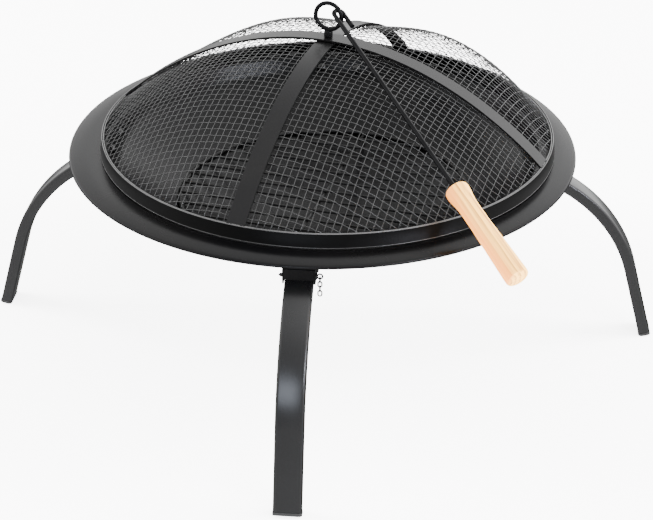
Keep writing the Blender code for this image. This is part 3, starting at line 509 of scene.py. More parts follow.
upper_out = Vector((math.sin(LEG_UPPER_SLOPE), 0.0, math.cos(LEG_UPPER_SLOPE)))
upper_along = Vector((math.cos(LEG_UPPER_SLOPE), 0.0, -math.sin(LEG_UPPER_SLOPE)))
lower_out = Vector((math.cos(LEG_SPLAY), 0.0, math.sin(LEG_SPLAY)))
lower_along = Vector((math.sin(LEG_SPLAY), 0.0, -math.cos(LEG_SPLAY)))
bend_start = PIVOT + upper_along * LEG_UPPER_LENGTH
bend_centre = bend_start - upper_out * LEG_BEND_RADIUS
bend_end = bend_centre + lower_out * LEG_BEND_RADIUS
inner_foot = bend_end - lower_out * (LEG_THICKNESS / 2.0)
leg_end = bend_end + lower_along * (inner_foot.z / math.cos(LEG_SPLAY) + SOLE_WIDTH * math.sin(LEG_SPLAY))
tube_end = leg_end - lower_along * CAP_LIP
print("foot at radius:", round(leg_end.x, 4))


# %% Legs
def section_ring(bm, place, half_width, half_height, corner):
    """Adds a rounded rectangle across the leg's lower line, and returns its points."""
    ring = []
    for across, out in rounded_section(half_width, half_height, corner):
        ring.append(bm.verts.new(place + Vector((0.0, across, 0.0)) + lower_out * out))
    return ring


def pulled(bm, edges, move):
    """Extrudes a ring of edges and returns the new ring."""
    made = bmesh.ops.extrude_edge_only(bm, edges=edges)["geom"]
    verts = only(bmesh.types.BMVert, made)
    bmesh.ops.translate(bm, verts=verts, vec=move)
    return [edge for edge in only(bmesh.types.BMEdge, made) if all(vert in verts for vert in edge.verts)]


def leg_bmesh():
    """Makes one leg along +X."""
    bm = bmesh.new()
    ring = section_ring(bm, tube_end, LEG_WIDTH / 2.0, LEG_THICKNESS / 2.0, LEG_CORNER)
    edges = pulled(bm, list(bm.faces.new(ring).edges), bend_end - tube_end)
    verts = list(dict.fromkeys(vert for edge in edges for vert in edge.verts))
    bend = math.pi / 2.0 - LEG_UPPER_SLOPE - LEG_SPLAY
    made = bmesh.ops.spin(bm, geom=verts + edges, cent=bend_centre, axis=(0.0, -1.0, 0.0), angle=bend,
                          steps=32)["geom_last"]
    edges = pulled(bm, only(bmesh.types.BMEdge, made), -upper_along * (LEG_UPPER_LENGTH + LEG_PAST_PIVOT))
    bmesh.ops.contextual_create(bm, geom=edges)
    bmesh.ops.remove_doubles(bm, verts=bm.verts, dist=MERGE)
    return bm


for side in LEGS:
    tube = piece(f"tube_{side}", placed(leg_bmesh(), leg_turn(side)), LEG_PAINT, f"leg_{side}",
                 (f"leg_{side}",))
print("leg faces:", len(tube.data.polygons))

# %% [markdown]
# ## The foot caps
#
# A moulded cap closes each tube and keeps it off the floor. Its lip stands a little proud of the tube. The
# lip is extruded along the leg and then cut level with the floor, as the real cap is moulded flat.

# %% Foot caps
def cap_bmesh():
    """Makes the lip of one foot cap, cut flat on the floor."""
    bm = bmesh.new()
    ring = section_ring(bm, leg_end, LEG_WIDTH / 2.0 + CAP_RIM, LEG_THICKNESS / 2.0 + CAP_RIM, LEG_CORNER)
    thickened(bm, bm.faces.new(ring), -lower_along * (CAP_LIP - GAP))
    cut = bmesh.ops.bisect_plane(bm, geom=bm.verts[:] + bm.edges[:] + bm.faces[:], plane_co=ORIGIN,
                                 plane_no=(0.0, 0.0, -1.0), clear_outer=True)["geom_cut"]
    bmesh.ops.contextual_create(bm, geom=only(bmesh.types.BMEdge, cut))
    return bm


for side in LEGS:
    cap = piece(f"cap_{side}", placed(cap_bmesh(), leg_turn(side)), CAP_PLASTIC, f"leg_{side}",
                (f"foot_cap_{side}",))
    edged(cap)
print("caps: 4, faces each:", len(cap.data.polygons))

# %% [markdown]
# ## The brackets
#
# A bracket is folded from sheet: two cheeks that hold the pivot, a front plate that stops the open leg, and
# an ear on each side that lies on the bowl's wall. The cheeks and the plate are outlines given a thickness,
# and the ears are a short profile of the wall spun through a few degrees.

# %% Brackets
def wall_line(offset, height):
    """Radius of a surface that lies offset outside the bowl's inner side, at a height."""
    start = Vector((SHOULDER_RADIUS, 0.0, SHOULDER_Z)) + WALL_OUT * offset
    if height >= start.z:
        return start.x + (height - start.z) * math.tan(WALL_LEAN)
    return math.sqrt((BELLY_RADIUS + offset) ** 2 - (BELLY_CENTRE - height) ** 2)


def cheek_outline():
    """The cheek's side view, with its inner edge along the bowl."""
    near = BOWL_WALL + GAP
    points = []
    for step in range(9):
        height = EAR_TOP + (CHEEK_BOTTOM - EAR_TOP) * step / 8.0
        points.append((wall_line(near, height), height))
    points += [(FRONT_X - CHEEK_CORNER, CHEEK_BOTTOM), (FRONT_X, CHEEK_BOTTOM + CHEEK_CORNER),
               (FRONT_X, FRONT_TOP), (FRONT_X - TOP_RUN, EAR_TOP)]
    return points


def ear(sign):
    """Makes the ear on one side."""
    near = BOWL_WALL + GAP
    corners = [(wall_line(near, EAR_BOTTOM), EAR_BOTTOM), (wall_line(near + SHEET, EAR_BOTTOM), EAR_BOTTOM),
               (wall_line(near + SHEET, EAR_TOP), EAR_TOP), (wall_line(near, EAR_TOP), EAR_TOP)]
    first = math.asin((CHEEK_OUTSIDE - CHEEK / 2.0) / corners[1][0])
    last = math.asin((CHEEK_OUTSIDE + EAR_WIDTH) / corners[1][0])
    bm = bmesh.new()
    face = bm.faces.new([bm.verts.new((radius, 0.0, height)) for radius, height in corners])
    bmesh.ops.rotate(bm, verts=bm.verts, cent=ORIGIN, matrix=Matrix.Rotation(sign * first, 3, "Z"))
    bmesh.ops.spin(bm, geom=[face, *face.edges, *face.verts], cent=ORIGIN, axis=UP,
                   angle=sign * (last - first), steps=5)
    return bm


# The front plate ends just above the open leg's upper face.
plate_bottom = PIVOT.z + upper_out.z * LEG_THICKNESS / 2.0 - (
    FRONT_X - SHEET - PIVOT.x - upper_out.x * LEG_THICKNESS / 2.0) * math.tan(LEG_UPPER_SLOPE) + GAP
front_outline = [(FRONT_X - SHEET, plate_bottom), (FRONT_X, plate_bottom), (FRONT_X, FRONT_TOP),
                 (FRONT_X - SHEET, FRONT_TOP + SHEET * (EAR_TOP - FRONT_TOP) / TOP_RUN)]
for side in LEGS:
    parts = [slab(cheek_outline(), sign * CHEEK_INSIDE, sign * CHEEK_OUTSIDE) for sign in (-1.0, 1.0)]
    parts += [slab(front_outline, -CHEEK_INSIDE, CHEEK_INSIDE), ear(-1.0), ear(1.0)]
    bracket = piece(f"bracket_{side}", placed(joined(*parts), leg_turn(side)), BRACKET_PAINT, "base",
                    (f"leg_bracket_{side}",))
    edged(bracket)
print("bracket faces:", len(bracket.data.polygons))

# %% [markdown]
# ## The pins and chains
#
# The pivot pin has a formed head outside each cheek. The lock pin ends in a point on one side and in a
# collar and an eye on the other, and a short chain keeps it from being lost. Each pin is a profile spun
# round its own axis and laid across the leg. The links are bent wire, every second one a quarter turn on.

# %% Pins
PIVOT_PIN = 0.0025
PIVOT_HEAD = 0.0042
LOCK_PIN = 0.0020
LOCK_TIP = 0.0036
LOCK_COLLAR = 0.0034
COLLAR_HEIGHT = 0.0012
LOCK_EYE = 0.0026
LOCK_EYE_WIRE = 0.0009
pin_half = CHEEK_OUTSIDE + GAP
collar_end = pin_half + COLLAR_HEIGHT
eye_centre = collar_end + LOCK_EYE
across = Matrix.Rotation(-math.pi / 2.0, 4, "X")


def head_profile(start, sign):
    """The domed head of a pivot pin, from the shank outwards."""
    return [(PIVOT_PIN, sign * start), (PIVOT_HEAD, sign * start), (PIVOT_HEAD, sign * (start + 0.0005)),
            (PIVOT_HEAD * 0.92, sign * (start + 0.0009)), (PIVOT_HEAD * 0.72, sign * (start + 0.0013)),
            (0.0, sign * (start + 0.0014))]


def lock_profile():
    """The lock pin's outline from its point to its collar."""
    tip = -pin_half - LOCK_TIP
    return [(0.0, tip), (0.0005, tip + 0.0002), (LOCK_PIN * 0.8, tip + 0.0016), (LOCK_PIN, tip + 0.0024),
            (LOCK_PIN, pin_half), (LOCK_COLLAR, pin_half), (LOCK_COLLAR, pin_half + 0.0009),
            (LOCK_COLLAR * 0.9, collar_end), (0.0, collar_end)]


for side in LEGS:
    turn = leg_turn(side)
    pivot = spun(head_profile(pin_half, -1.0)[::-1] + head_profile(pin_half, 1.0), 24, closed=False)
    placed(pivot, turn @ Matrix.Translation(PIVOT) @ across)
    piece(f"pivot_{side}", pivot, PIN_STEEL, "base", (f"pivot_pin_{side}",))
    eye = wires([circle_points(LOCK_EYE, 0.0, 20)], LOCK_EYE_WIRE, 2, cyclic=True)
    placed(eye, Matrix.Translation((0.0, 0.0, eye_centre)) @ Matrix.Rotation(math.pi / 2.0, 4, "Y"))
    lock = joined(spun(lock_profile(), 20, closed=False), eye)
    placed(lock, turn @ Matrix.Translation(LOCK) @ across)
    pin = piece(f"pull_pin_{side}", lock, PIN_STEEL, f"lock_pin_{side}",
                (f"lock_pin_{side}",))
print("lock pin faces:", len(pin.data.polygons))

# %% Chains
LINK_LENGTH = 0.0076
LINK_WIDTH = 0.0052
LINK_WIRE = 0.0007
LINKS = 4


def link_points():
    """Lists one link's wire: two half circles joined by straights."""
    radius = LINK_WIDTH / 2.0 - LINK_WIRE
    straight = (LINK_LENGTH - LINK_WIDTH) / 2.0
    halves = arc((0.0, straight), radius, 0.0, 180.0, 8) + arc((0.0, -straight), radius, 180.0, 360.0, 8)
    return [(x, 0.0, z) for x, z in halves]


inside = LINK_LENGTH / 2.0 - 2.0 * LINK_WIRE
link_step = 2.0 * (inside + LINK_WIRE) - LINK_WIRE * 1.5
first_link = LOCK_EYE_WIRE + GAP - LOCK_EYE - inside
for side in LEGS:
    parts = []
    for index in range(LINKS):
        link = wires([link_points()], LINK_WIRE, 2, cyclic=True)
        place = Matrix.Translation((0.0, eye_centre, first_link - link_step * index))
        parts.append(placed(link, place @ Matrix.Rotation(math.pi / 2.0 * (index % 2), 4, "Z")))
    chain = placed(joined(*parts), leg_turn(side) @ Matrix.Translation(LOCK))
    piece(f"chain_{side}", chain, PIN_STEEL, f"lock_pin_{side}", (f"pin_chain_{side}",))
print("links in a chain:", LINKS)

# %% [markdown]
# ## The bolts and nuts
#
# Two bolts hold each bracket. Their domed heads show inside the bowl as small dark domes behind the mesh,
# and the nuts sit outside on the ears. A head is a spun arc, and a nut is a rectangle spun in six steps.

# %% Bolts and nuts
BOLT = 0.0025
BOLT_HEAD = 0.0058
HEAD_HEIGHT = 0.0032
BOLT_PAST = 0.0012
NUT = 0.0048
NUT_HEIGHT = 0.0038
bolt_length = SEAT_GAP + BOWL_WALL + GAP + SHEET + GAP + NUT_HEIGHT + BOLT_PAST
bolt_profile = [(0.0, bolt_length), (BOLT * 0.8, bolt_length), (BOLT, bolt_length - 0.0005), (BOLT, 0.0),
                (BOLT_HEAD, 0.0)]
for step in range(1, 8):
    angle = math.pi / 2.0 * step / 8.0
    bolt_profile.append((BOLT_HEAD * math.cos(angle), -HEAD_HEIGHT * math.sin(angle)))
bolt_profile.append((0.0, -HEAD_HEIGHT))


def hex_nut(radius, height, bore):
    """Makes a nut with a bevelled rim: a profile spun in six steps."""
    rim = radius * 0.94
    profile = [(bore, 0.0), (rim, 0.0), (radius, height * 0.12), (radius, height * 0.88), (rim, height),
               (bore, height)]
    return spun(profile, 6)


bolt_height = RIM_HEIGHT - BOLT_DROP
bolt_radius = wall_line(0.0, bolt_height)
bolt_aim = WALL_OUT.to_track_quat("Z", "Y").to_matrix().to_4x4()
nut_seat = BOWL_WALL + 2.0 * GAP + SHEET
for side in LEGS:
    for number, sign in ((1, -1.0), (2, 1.0)):
        turn = leg_turn(side) @ Matrix.Rotation(sign * math.asin(BOLT_SPREAD / bolt_radius), 4, "Z")
        place = turn @ Matrix.Translation((bolt_radius, 0.0, bolt_height)) @ bolt_aim
        head = spun(bolt_profile, 24, closed=False)
        placed(head, place @ Matrix.Translation((0.0, 0.0, -SEAT_GAP)))
        piece(f"bolt_{side}_{number}", head, BOLT_STEEL, "base",
              (f"bracket_bolt_{side}_{number}",))
        nut = hex_nut(NUT, NUT_HEIGHT, BOLT + GAP)
        placed(nut, place @ Matrix.Translation((0.0, 0.0, nut_seat)))
        piece(f"nut_{side}_{number}", nut, NUT_ZINC, "base", (f"bracket_nut_{side}_{number}",))
print("bolts and nuts: 8 of each")

# %% [markdown]
# ## The grate
#
# The grate is welded from round wire: a ring, thirteen parallel wires and one bar beneath them. It lies on
# the belly, so its height follows from the belly's radius.

# %% Grate
GRATE_CONTACT = 0.165
GRATE_RING_WIRE = 0.0025
GRATE_WIRE = 0.0015
GRATE_BAR = 0.00175
GRATE_PITCH = 0.0236
GRATE_WIRES = 13
GRATE_TURN = math.radians(-12.0)
GRATE_SLIDE = (0.0033, 0.0014)
lean = GRATE_CONTACT / BELLY_RADIUS
stand_off = GRATE_RING_WIRE + SEAT_GAP
grate_radius = GRATE_CONTACT - lean * stand_off
grate_height = (BELLY_CENTRE - math.sqrt(BELLY_RADIUS ** 2 - GRATE_CONTACT ** 2)
                + math.sqrt(1.0 - lean ** 2) * stand_off)
# A welded wire sinks a little into the one that it crosses.
wire_height = grate_height + GRATE_RING_WIRE - GRATE_WIRE / 3.0
bar_height = wire_height - GRATE_WIRE - GRATE_BAR * 0.7
lines = []
for index in range(GRATE_WIRES):
    offset = (index - (GRATE_WIRES - 1) / 2.0) * GRATE_PITCH
    half = math.sqrt(grate_radius ** 2 - offset ** 2)
    lines.append([(-half, offset, wire_height), (half, offset, wire_height)])
bar = [(0.0, -grate_radius, bar_height), (0.0, grate_radius, bar_height)]
grid = joined(wires([circle_points(grate_radius, grate_height, 128)], GRATE_RING_WIRE, 3, cyclic=True),
              wires(lines, GRATE_WIRE, 2), wires([bar], GRATE_BAR, 2))
slide_arm = BELLY_CENTRE - grate_height
slid = Matrix.Rotation(math.asin(GRATE_SLIDE[1] / slide_arm), 4, "X")
slid = slid @ Matrix.Rotation(-math.asin(GRATE_SLIDE[0] / slide_arm), 4, "Y")
belly_middle = Matrix.Translation((0.0, 0.0, BELLY_CENTRE))
grate_place = belly_middle @ slid @ belly_middle.inverted() @ Matrix.Rotation(GRATE_TURN, 4, "Z")
piece("grate_grid", placed(grid, grate_place), GRATE_STEEL, "grate", ("grate",))
print("grate height:", round(grate_height, 4))

# %% [markdown]
# ## The lid's hoop
#
# The hoop is a strip rolled into a ring. Its lower edge has a small bead. Along its upper edge the strip is
# folded over the mesh, which leaves a dark groove between the strip's own edge outside and the binding of
# the mesh inside. The binding is a wire in a lighter, glossier paint, and two more such wires lie along the
# bead and the strip's edge: painted highlights for the thin bright lines there.

# %% Hoop
GROOVE_DEPTH = 0.0016
EDGE_SHEET = 0.0007
BINDING_WIRE = 0.0007
HIGHLIGHT_LINE_WIRE = 0.0005
hoop_profile = [(HOOP_RADIUS - HOOP_WALL, HOOP_BOTTOM), (HOOP_RADIUS + 0.0002, HOOP_BOTTOM),
                (HOOP_RADIUS + 0.0007, HOOP_BOTTOM + 0.0003), (HOOP_RADIUS + 0.0009, HOOP_BOTTOM + 0.0008),
                (HOOP_RADIUS + 0.0007, HOOP_BOTTOM + 0.0014), (HOOP_RADIUS, HOOP_BOTTOM + 0.0019),
                (HOOP_TOP_RADIUS, HOOP_TOP - 0.0004), (HOOP_TOP_RADIUS - 0.0002, HOOP_TOP - 0.0001),
                (HOOP_TOP_RADIUS - EDGE_SHEET / 2.0, HOOP_TOP),
                (HOOP_TOP_RADIUS - EDGE_SHEET, HOOP_TOP - 0.0002),
                (HOOP_TOP_RADIUS - EDGE_SHEET, HOOP_TOP - GROOVE_DEPTH),
                (HOOP_TOP_RADIUS - HOOP_WALL, HOOP_TOP - GROOVE_DEPTH)]
hoop = piece("hoop", placed(spun(hoop_profile, RIM_STEPS), LID_PLACE), HOOP_SHADED_PAINT, "lid",
             ("lid_hoop",), sharp=50.0)
# The binding wire and two thin wires on the strip's top edge and on the bead wear the lighter paint: painted
# highlights.
binding = wires([circle_points(HOOP_TOP_RADIUS - HOOP_WALL - BINDING_WIRE, HOOP_TOP - 0.0006, RIM_STEPS)],
                BINDING_WIRE, 2, cyclic=True)
edges = wires([circle_points(HOOP_TOP_RADIUS - EDGE_SHEET / 2.0, HOOP_TOP - 0.0001, RIM_STEPS),
               circle_points(HOOP_RADIUS + 0.0004, HOOP_BOTTOM + 0.0009, RIM_STEPS)], HIGHLIGHT_LINE_WIRE, 2,
              cyclic=True)
piece("hoop_highlight_lines", placed(joined(binding, edges), LID_PLACE), LINE_HIGHLIGHT_PAINT, "lid", (),
      sharp=80.0)
print("hoop faces:", len(hoop.data.polygons))

# %% [markdown]
# ## The straps
#
# The two straps are flat bands bent over the dome, crossing under the ring. Each is a side view of the band,
# filled and extruded to its width, with its edges rounded. At each end it is spot-welded to the hoop, and
# small beads of weld stand there.

# %% Straps
def dome_height(radius, rise):
    """Height of a strap's upper side at a radius."""
    share = min(1.0, abs(radius) / DOME_RADIUS)
    return HOOP_TOP + rise * (1.0 - share * share) ** DOME_FULLNESS


def strap_bmesh(rise, turn):
    """Makes a strap in the lid's place."""
    outer = [(DOME_RADIUS, HOOP_TOP - STRAP_TAB)]
    steps = 96
    for step in range(steps + 1):
        radius = DOME_RADIUS * math.cos(math.pi * step / steps)
        outer.append((radius, dome_height(radius, rise)))
    outer.append((-DOME_RADIUS, HOOP_TOP - STRAP_TAB))
    inner = shifted(outer, -STRAP_THICKNESS)
    band = slab(outer + inner[::-1], -STRAP_WIDTH / 2.0, STRAP_WIDTH / 2.0)
    return placed(band, LID_PLACE @ Matrix.Rotation(turn, 4, "Z"))


STRAPS = (("lower", DOME_RISE - STRAP_STEP, math.pi / 2.0), ("upper", DOME_RISE, 0.0))
for name, rise, turn in STRAPS:
    band = piece(f"band_{name}", strap_bmesh(rise, turn), LID_PAINT, "lid",
                 (f"strap_{name}",))
    edged(band)
print("strap faces:", len(band.data.polygons))

# %% Weld beads
BEADS = ((-0.0086, 0.0013), (-0.0050, 0.0010), (0.0012, 0.0008), (0.0062, 0.0013), (0.0090, 0.0009))
BEAD_SHAPE = (0.8, 1.5, 0.7)
BEAD_SINK = 0.0002
beads = []
for quarter in range(4):
    for across_strap, size in BEADS:
        bead = bmesh.new()
        bmesh.ops.create_uvsphere(bead, u_segments=14, v_segments=8, radius=size)
        bmesh.ops.scale(bead, verts=bead.verts, vec=BEAD_SHAPE)
        place = (DOME_RADIUS - BEAD_SINK, across_strap, HOOP_TOP - BEAD_SINK)
        bmesh.ops.translate(bead, verts=bead.verts, vec=place)
        beads.append(placed(bead, Matrix.Rotation(math.pi / 2.0 * quarter, 4, "Z")))
piece("weld_beads", placed(joined(*beads), LID_PLACE), LID_PAINT, "lid", ())
print("beads:", len(beads))

# %% [markdown]
# ## The woven mesh
#
# The dome is woven wire: each wire passes over one neighbour and under the next. The wires run in two
# crossing sets, straight in plan, and take their height from the dome. Between the straps the mesh swells,
# most of all at the back right, because the straps draw it down. A thin wire shows as one bright line, so
# a section of six sides, shaded smooth, is enough for it, and the whole dome stays light.

# %% The mesh's surface
STRAP_CLEAR = 0.0016
FREE_RUN = 0.012
FLATTEST = 0.02
SWELL_FULL = 0.7
MESH_SEAT = 0.0034
SEAT_START = 0.94
SEAT_RUN = 0.06


def smooth(value):
    """Eases from 0 to 1."""
    value = min(1.0, max(0.0, value))
    return value * value * (3.0 - 2.0 * value)


def mesh_height(x, y):
    """Height of the mesh's middle surface: flat under a strap, free beside it, raised at the hoop."""
    radius = math.hypot(x, y)
    share = min(1.0, radius / DOME_RADIUS)
    flat = max(1.0 - share * share, FLATTEST)
    slope = 2.0 * DOME_FULLNESS * DOME_RISE * share / DOME_RADIUS * flat ** (DOME_FULLNESS - 1.0)
    below = MESH_BELOW * math.sqrt(1.0 + slope * slope)
    free = smooth((min(abs(x), abs(y)) - STRAP_WIDTH / 2.0 - STRAP_CLEAR) / FREE_RUN)
    swell = math.sin(2.0 * math.atan2(y, x)) ** 2 * smooth(share / SWELL_FULL) * (1.0 - share ** 6)
    seated = MESH_SEAT * smooth((share - SEAT_START) / SEAT_RUN)
    back_bulge = MESH_BULGE_RIGHT if x > 0.0 else MESH_BULGE_LEFT
    bulge = back_bulge if y > 0.0 else MESH_BULGE
    return dome_height(radius, DOME_RISE - STRAP_STEP) - below + (bulge * swell + seated) * free


print("mesh under the crown:", round(CROWN_TOP - mesh_height(0.0, 0.0), 4))

# %% Woven mesh
WEAVE_SHARE = 0.9


def woven_lines(along_y):
    """Lists the wires of one set, each up and down over the crossing set."""
    lines = []
    count = int(MESH_EDGE / MESH_PITCH)
    for index in range(-count, count + 1):
        offset = index * MESH_PITCH
        half = math.sqrt(MESH_EDGE ** 2 - offset ** 2)
        reach = int(half / MESH_PITCH)
        places = [-half] + [step * MESH_PITCH for step in range(-reach, reach + 1)] + [half]
        line = []
        for place in places:
            over = (index + round(place / MESH_PITCH)) % 2 == along_y
            x, y = (offset, place) if along_y else (place, offset)
            line.append((x, y, mesh_height(x, y) + (MESH_WIRE if over else -MESH_WIRE) * WEAVE_SHARE))
        lines.append(line)
    return lines


weave = wires(woven_lines(0) + woven_lines(1), MESH_WIRE, 1)
woven = piece("woven_mesh", placed(weave, LID_PLACE), MESH_PAINT, "lid", ("lid_mesh",),
              sharp=180.0, recalc=False)
print("mesh triangles:", sum(len(face.vertices) - 2 for face in woven.data.polygons))

# %% [markdown]
# ## The lifting ring
#
# A ring of bent rod stands on a short neck, and a nut under the crossing holds the neck's shank. All three
# are spun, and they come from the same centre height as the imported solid.

# %% Ring and nut
NECK = 0.00475
NECK_BELOW = 0.0006
SHANK = 0.0030
SHANK_REACH = 0.0105
CROWN_NUT = 0.0062
CROWN_NUT_HEIGHT = 0.0045
ring = placed(spun(arc((EYE_RADIUS, 0.0), EYE_WIRE, 0.0, 337.5, 15), 96),
              Matrix.Rotation(math.pi / 2.0, 4, "X"))
placed(ring, Matrix.Translation(EYE_CENTRE))
neck_top = EYE_CENTRE.z - EYE_RADIUS - NECK_BELOW
neck_foot = CROWN_TOP + GAP
shank_end = CROWN_TOP - SHANK_REACH
neck = spun([(0.0, neck_top), (SHANK, neck_top), (NECK * 0.80, neck_top - 0.0006),
             (NECK * 0.94, neck_top - 0.0014), (NECK, neck_top - 0.0024), (NECK, neck_foot + 0.0004),
             (NECK * 0.93, neck_foot), (SHANK, neck_foot), (SHANK, shank_end), (0.0, shank_end)],
            40, closed=False)
piece("lifting_ring", placed(joined(ring, neck), LID_PLACE), ROD_PAINT, "lid", ("eye_bolt",))
nut_bottom = CROWN_TOP - STRAP_STEP - STRAP_THICKNESS - GAP - CROWN_NUT_HEIGHT
crown_nut = placed(hex_nut(CROWN_NUT, CROWN_NUT_HEIGHT, SHANK + GAP),
                   Matrix.Translation((0.0, 0.0, nut_bottom)))
piece("crown_hex", placed(crown_nut, LID_PLACE), NUT_ZINC, "lid", ("crown_nut",))
print("ring centre:", tuple(round(value, 4) for value in EYE_CENTRE))

# %% [markdown]
# ## The poker
#
# The rod is one bent wire with a hairpin hook round the ring. The handle is turned wood, so it is a
# profile spun round its own axis and then laid along the rod: a flared collar, a waist, and a slow swell to
# a flat sawn end.

# %% Poker rod
HOOK_BEND = 0.0053
HOOK_PAST = 0.0040
HOOK_END = 0.018
ROD_IN_HANDLE = 0.010


def rod_point(along, across):
    """A point in the poker's plane, measured from the hook's axis."""
    return HOOK_AXIS + ROD_ALONG * along + ROD_SIDE * across


rod_line = [rod_point(HANDLE_START + ROD_IN_HANDLE, -HOOK_RADIUS)]
for step in range(25):
    angle = -math.pi / 2.0 - math.pi * step / 24
    rod_line.append(rod_point(HOOK_BEND * math.cos(angle) - HOOK_PAST,
                              HOOK_BEND * (1.0 + math.sin(angle)) - HOOK_RADIUS))
rod_line.append(rod_point(HOOK_END, 2.0 * HOOK_BEND - HOOK_RADIUS))
rod = piece("hooked_rod", wires([[tuple(point) for point in rod_line]], ROD_RADIUS, 4), ROD_PAINT, "poker",
            ("poker_rod",))
print("rod faces:", len(rod.data.polygons))

# %% [markdown]
# The wood is pale, with growth rings that run along the handle. A tree's rings are cylinders, so the grain
# is a ring wave round an axis beside the handle's own: it draws long lines on the sides and arcs on the
# sawn end by itself. Fine fibres, drawn out along the handle, lie over it. A darker stripe runs along one
# side: partly heartwood, partly painted shade for the handle's shaded side.

# %% Wood
RINGS_ASIDE = (0.021, 0.008, 0.0)
RING_STRETCH = (1.0, 1.0, 0.10)
RING_SHARE = 0.32
FIBRE_STRETCH = (1.0, 1.0, 0.035)
FIBRE_FINENESS = 330.0
FIBRE_SHARE = 0.68
PALE_WOOD = ((0.93, 0.50, 0.100), (0.26, 0.065, 0.009))
PALE_RANGE = (0.42, 0.80)
# The darker stripe along one side of the handle: partly heartwood, partly painted shade.
HEARTWOOD_AND_SHADE = (0.66, 0.20, 0.025, 1.0)
STRIPE_EDGE = (-0.0088, -0.0030)
STRIPE_SHARE = 0.85
STRIPE_WANDER = 0.004


def wood(name, place):
    """Makes pale turned wood. place is the handle's frame, with its axis along local Z."""
    look, tree = new_look(name)
    coords = add_node(tree, "TexCoord", {})["Object"]
    frame_inputs = {"Vector": coords, "Location": place.to_translation(), "Rotation": place.to_euler()}
    local = add_node(tree, "Mapping", frame_inputs, vector_type="TEXTURE")["Vector"]
    grain = add_node(tree, "Mapping", {"Vector": local, "Location": RINGS_ASIDE, "Scale": RING_STRETCH})
    wave = {"Vector": grain["Vector"], "Scale": 60.0, "Distortion": 4.0, "Detail": 3.0, "Detail Scale": 0.7}
    rings = add_node(tree, "TexWave", wave, wave_type="RINGS", rings_direction="Z", wave_profile="SAW")
    stretch = add_node(tree, "Mapping", {"Vector": local, "Scale": FIBRE_STRETCH})
    fibre = noise(tree, stretch["Vector"], FIBRE_FINENESS, detail=6.0)
    tone = math_node(tree, "ADD", math_node(tree, "MULTIPLY", rings["Fac"], RING_SHARE),
                     math_node(tree, "MULTIPLY", fibre, FIBRE_SHARE))
    pale = ramp_between(tree, tone, PALE_WOOD, PALE_RANGE)
    # One side of the handle is darkened: partly heartwood, partly painted shade.
    wander = math_node(tree, "MULTIPLY", fibre, STRIPE_WANDER)
    side = math_node(tree, "ADD", add_node(tree, "SeparateXYZ", {"Vector": local})["X"], wander)
    stripe_and_shade = map_range(tree, side, STRIPE_EDGE, (STRIPE_SHARE, 0.0), interpolation_type="SMOOTHSTEP")
    fill(tree, tree.nodes["Principled BSDF"], {
        "Base Color": mixed(tree, stripe_and_shade, pale, HEARTWOOD_AND_SHADE),
        "Roughness": 0.50,
        "Specular IOR Level": 0.3,
        "Normal": relief(tree, tone, 0.25),
    })
    return look


handle_place = Matrix.Translation(rod_point(HANDLE_START, -HOOK_RADIUS)) @ \
    ROD_ALONG.to_track_quat("Z", "Y").to_matrix().to_4x4()
WOOD = wood("turned_wood", handle_place)
print("handle axis:", tuple(round(value, 3) for value in ROD_ALONG))

# %% Handle
COLLAR = 0.0123
COLLAR_LINE = ((0.86, 0.0), (0.93, 0.0004), (0.97, 0.0012), (0.995, 0.0026), (1.0, 0.0042), (0.99, 0.0068),
               (0.96, 0.0100), (0.91, 0.0135))
WAIST = 0.0100
WAIST_LINE = ((1.06, 0.0175), (1.02, 0.0210), (1.0, 0.0255), (1.0, 0.0330), (1.005, 0.0420))
GRIP_START = 0.0500
GRIP_END = 0.95
GRIP_FOOT = 1.01
GRIP_CURVE = 0.9
END = 0.0120
END_LINE = ((0.995, 0.0016), (0.97, 0.0006), (0.93, 0.0))
BORE_DEPTH = 0.032
bore = ROD_RADIUS + GAP
handle_profile = [(0.0, BORE_DEPTH), (bore, BORE_DEPTH), (bore, 0.0)]
handle_profile += [(COLLAR * share, along) for share, along in COLLAR_LINE]
handle_profile += [(WAIST * share, along) for share, along in WAIST_LINE]
for step in range(9):
    share = step / 8.0
    along = GRIP_START + share * (HANDLE_LENGTH * GRIP_END - GRIP_START)
    radius = WAIST * GRIP_FOOT + (END - WAIST * GRIP_FOOT) * share ** GRIP_CURVE
    handle_profile.append((radius, along))
handle_profile += [(END * share, HANDLE_LENGTH - before) for share, before in END_LINE]
handle_profile.append((0.0, HANDLE_LENGTH))
handle = placed(spun(handle_profile, 72, closed=False), handle_place)
handle = piece("turned_handle", handle, WOOD, "poker", ("poker_handle",), sharp=50.0)
print("handle faces:", len(handle.data.polygons))

# %% [markdown]
# ## Floor, light and camera
#
# The photograph is a bright studio picture on white. The floor is a plain white sheet that glows, so it
# stays clean in every view. The surround is white too: brightest on the right and on the far left, dimmer in
# front, and dark below at the back. Its reflection draws the soft tones on the paint.
#
# Two lights at the sides reach matt surfaces only, and brighten the wood. A third in front shines on the
# legs, and a narrow strip at the front right gives the soft patch on the bowl's inner wall. The camera looks
# down at about thirty degrees.

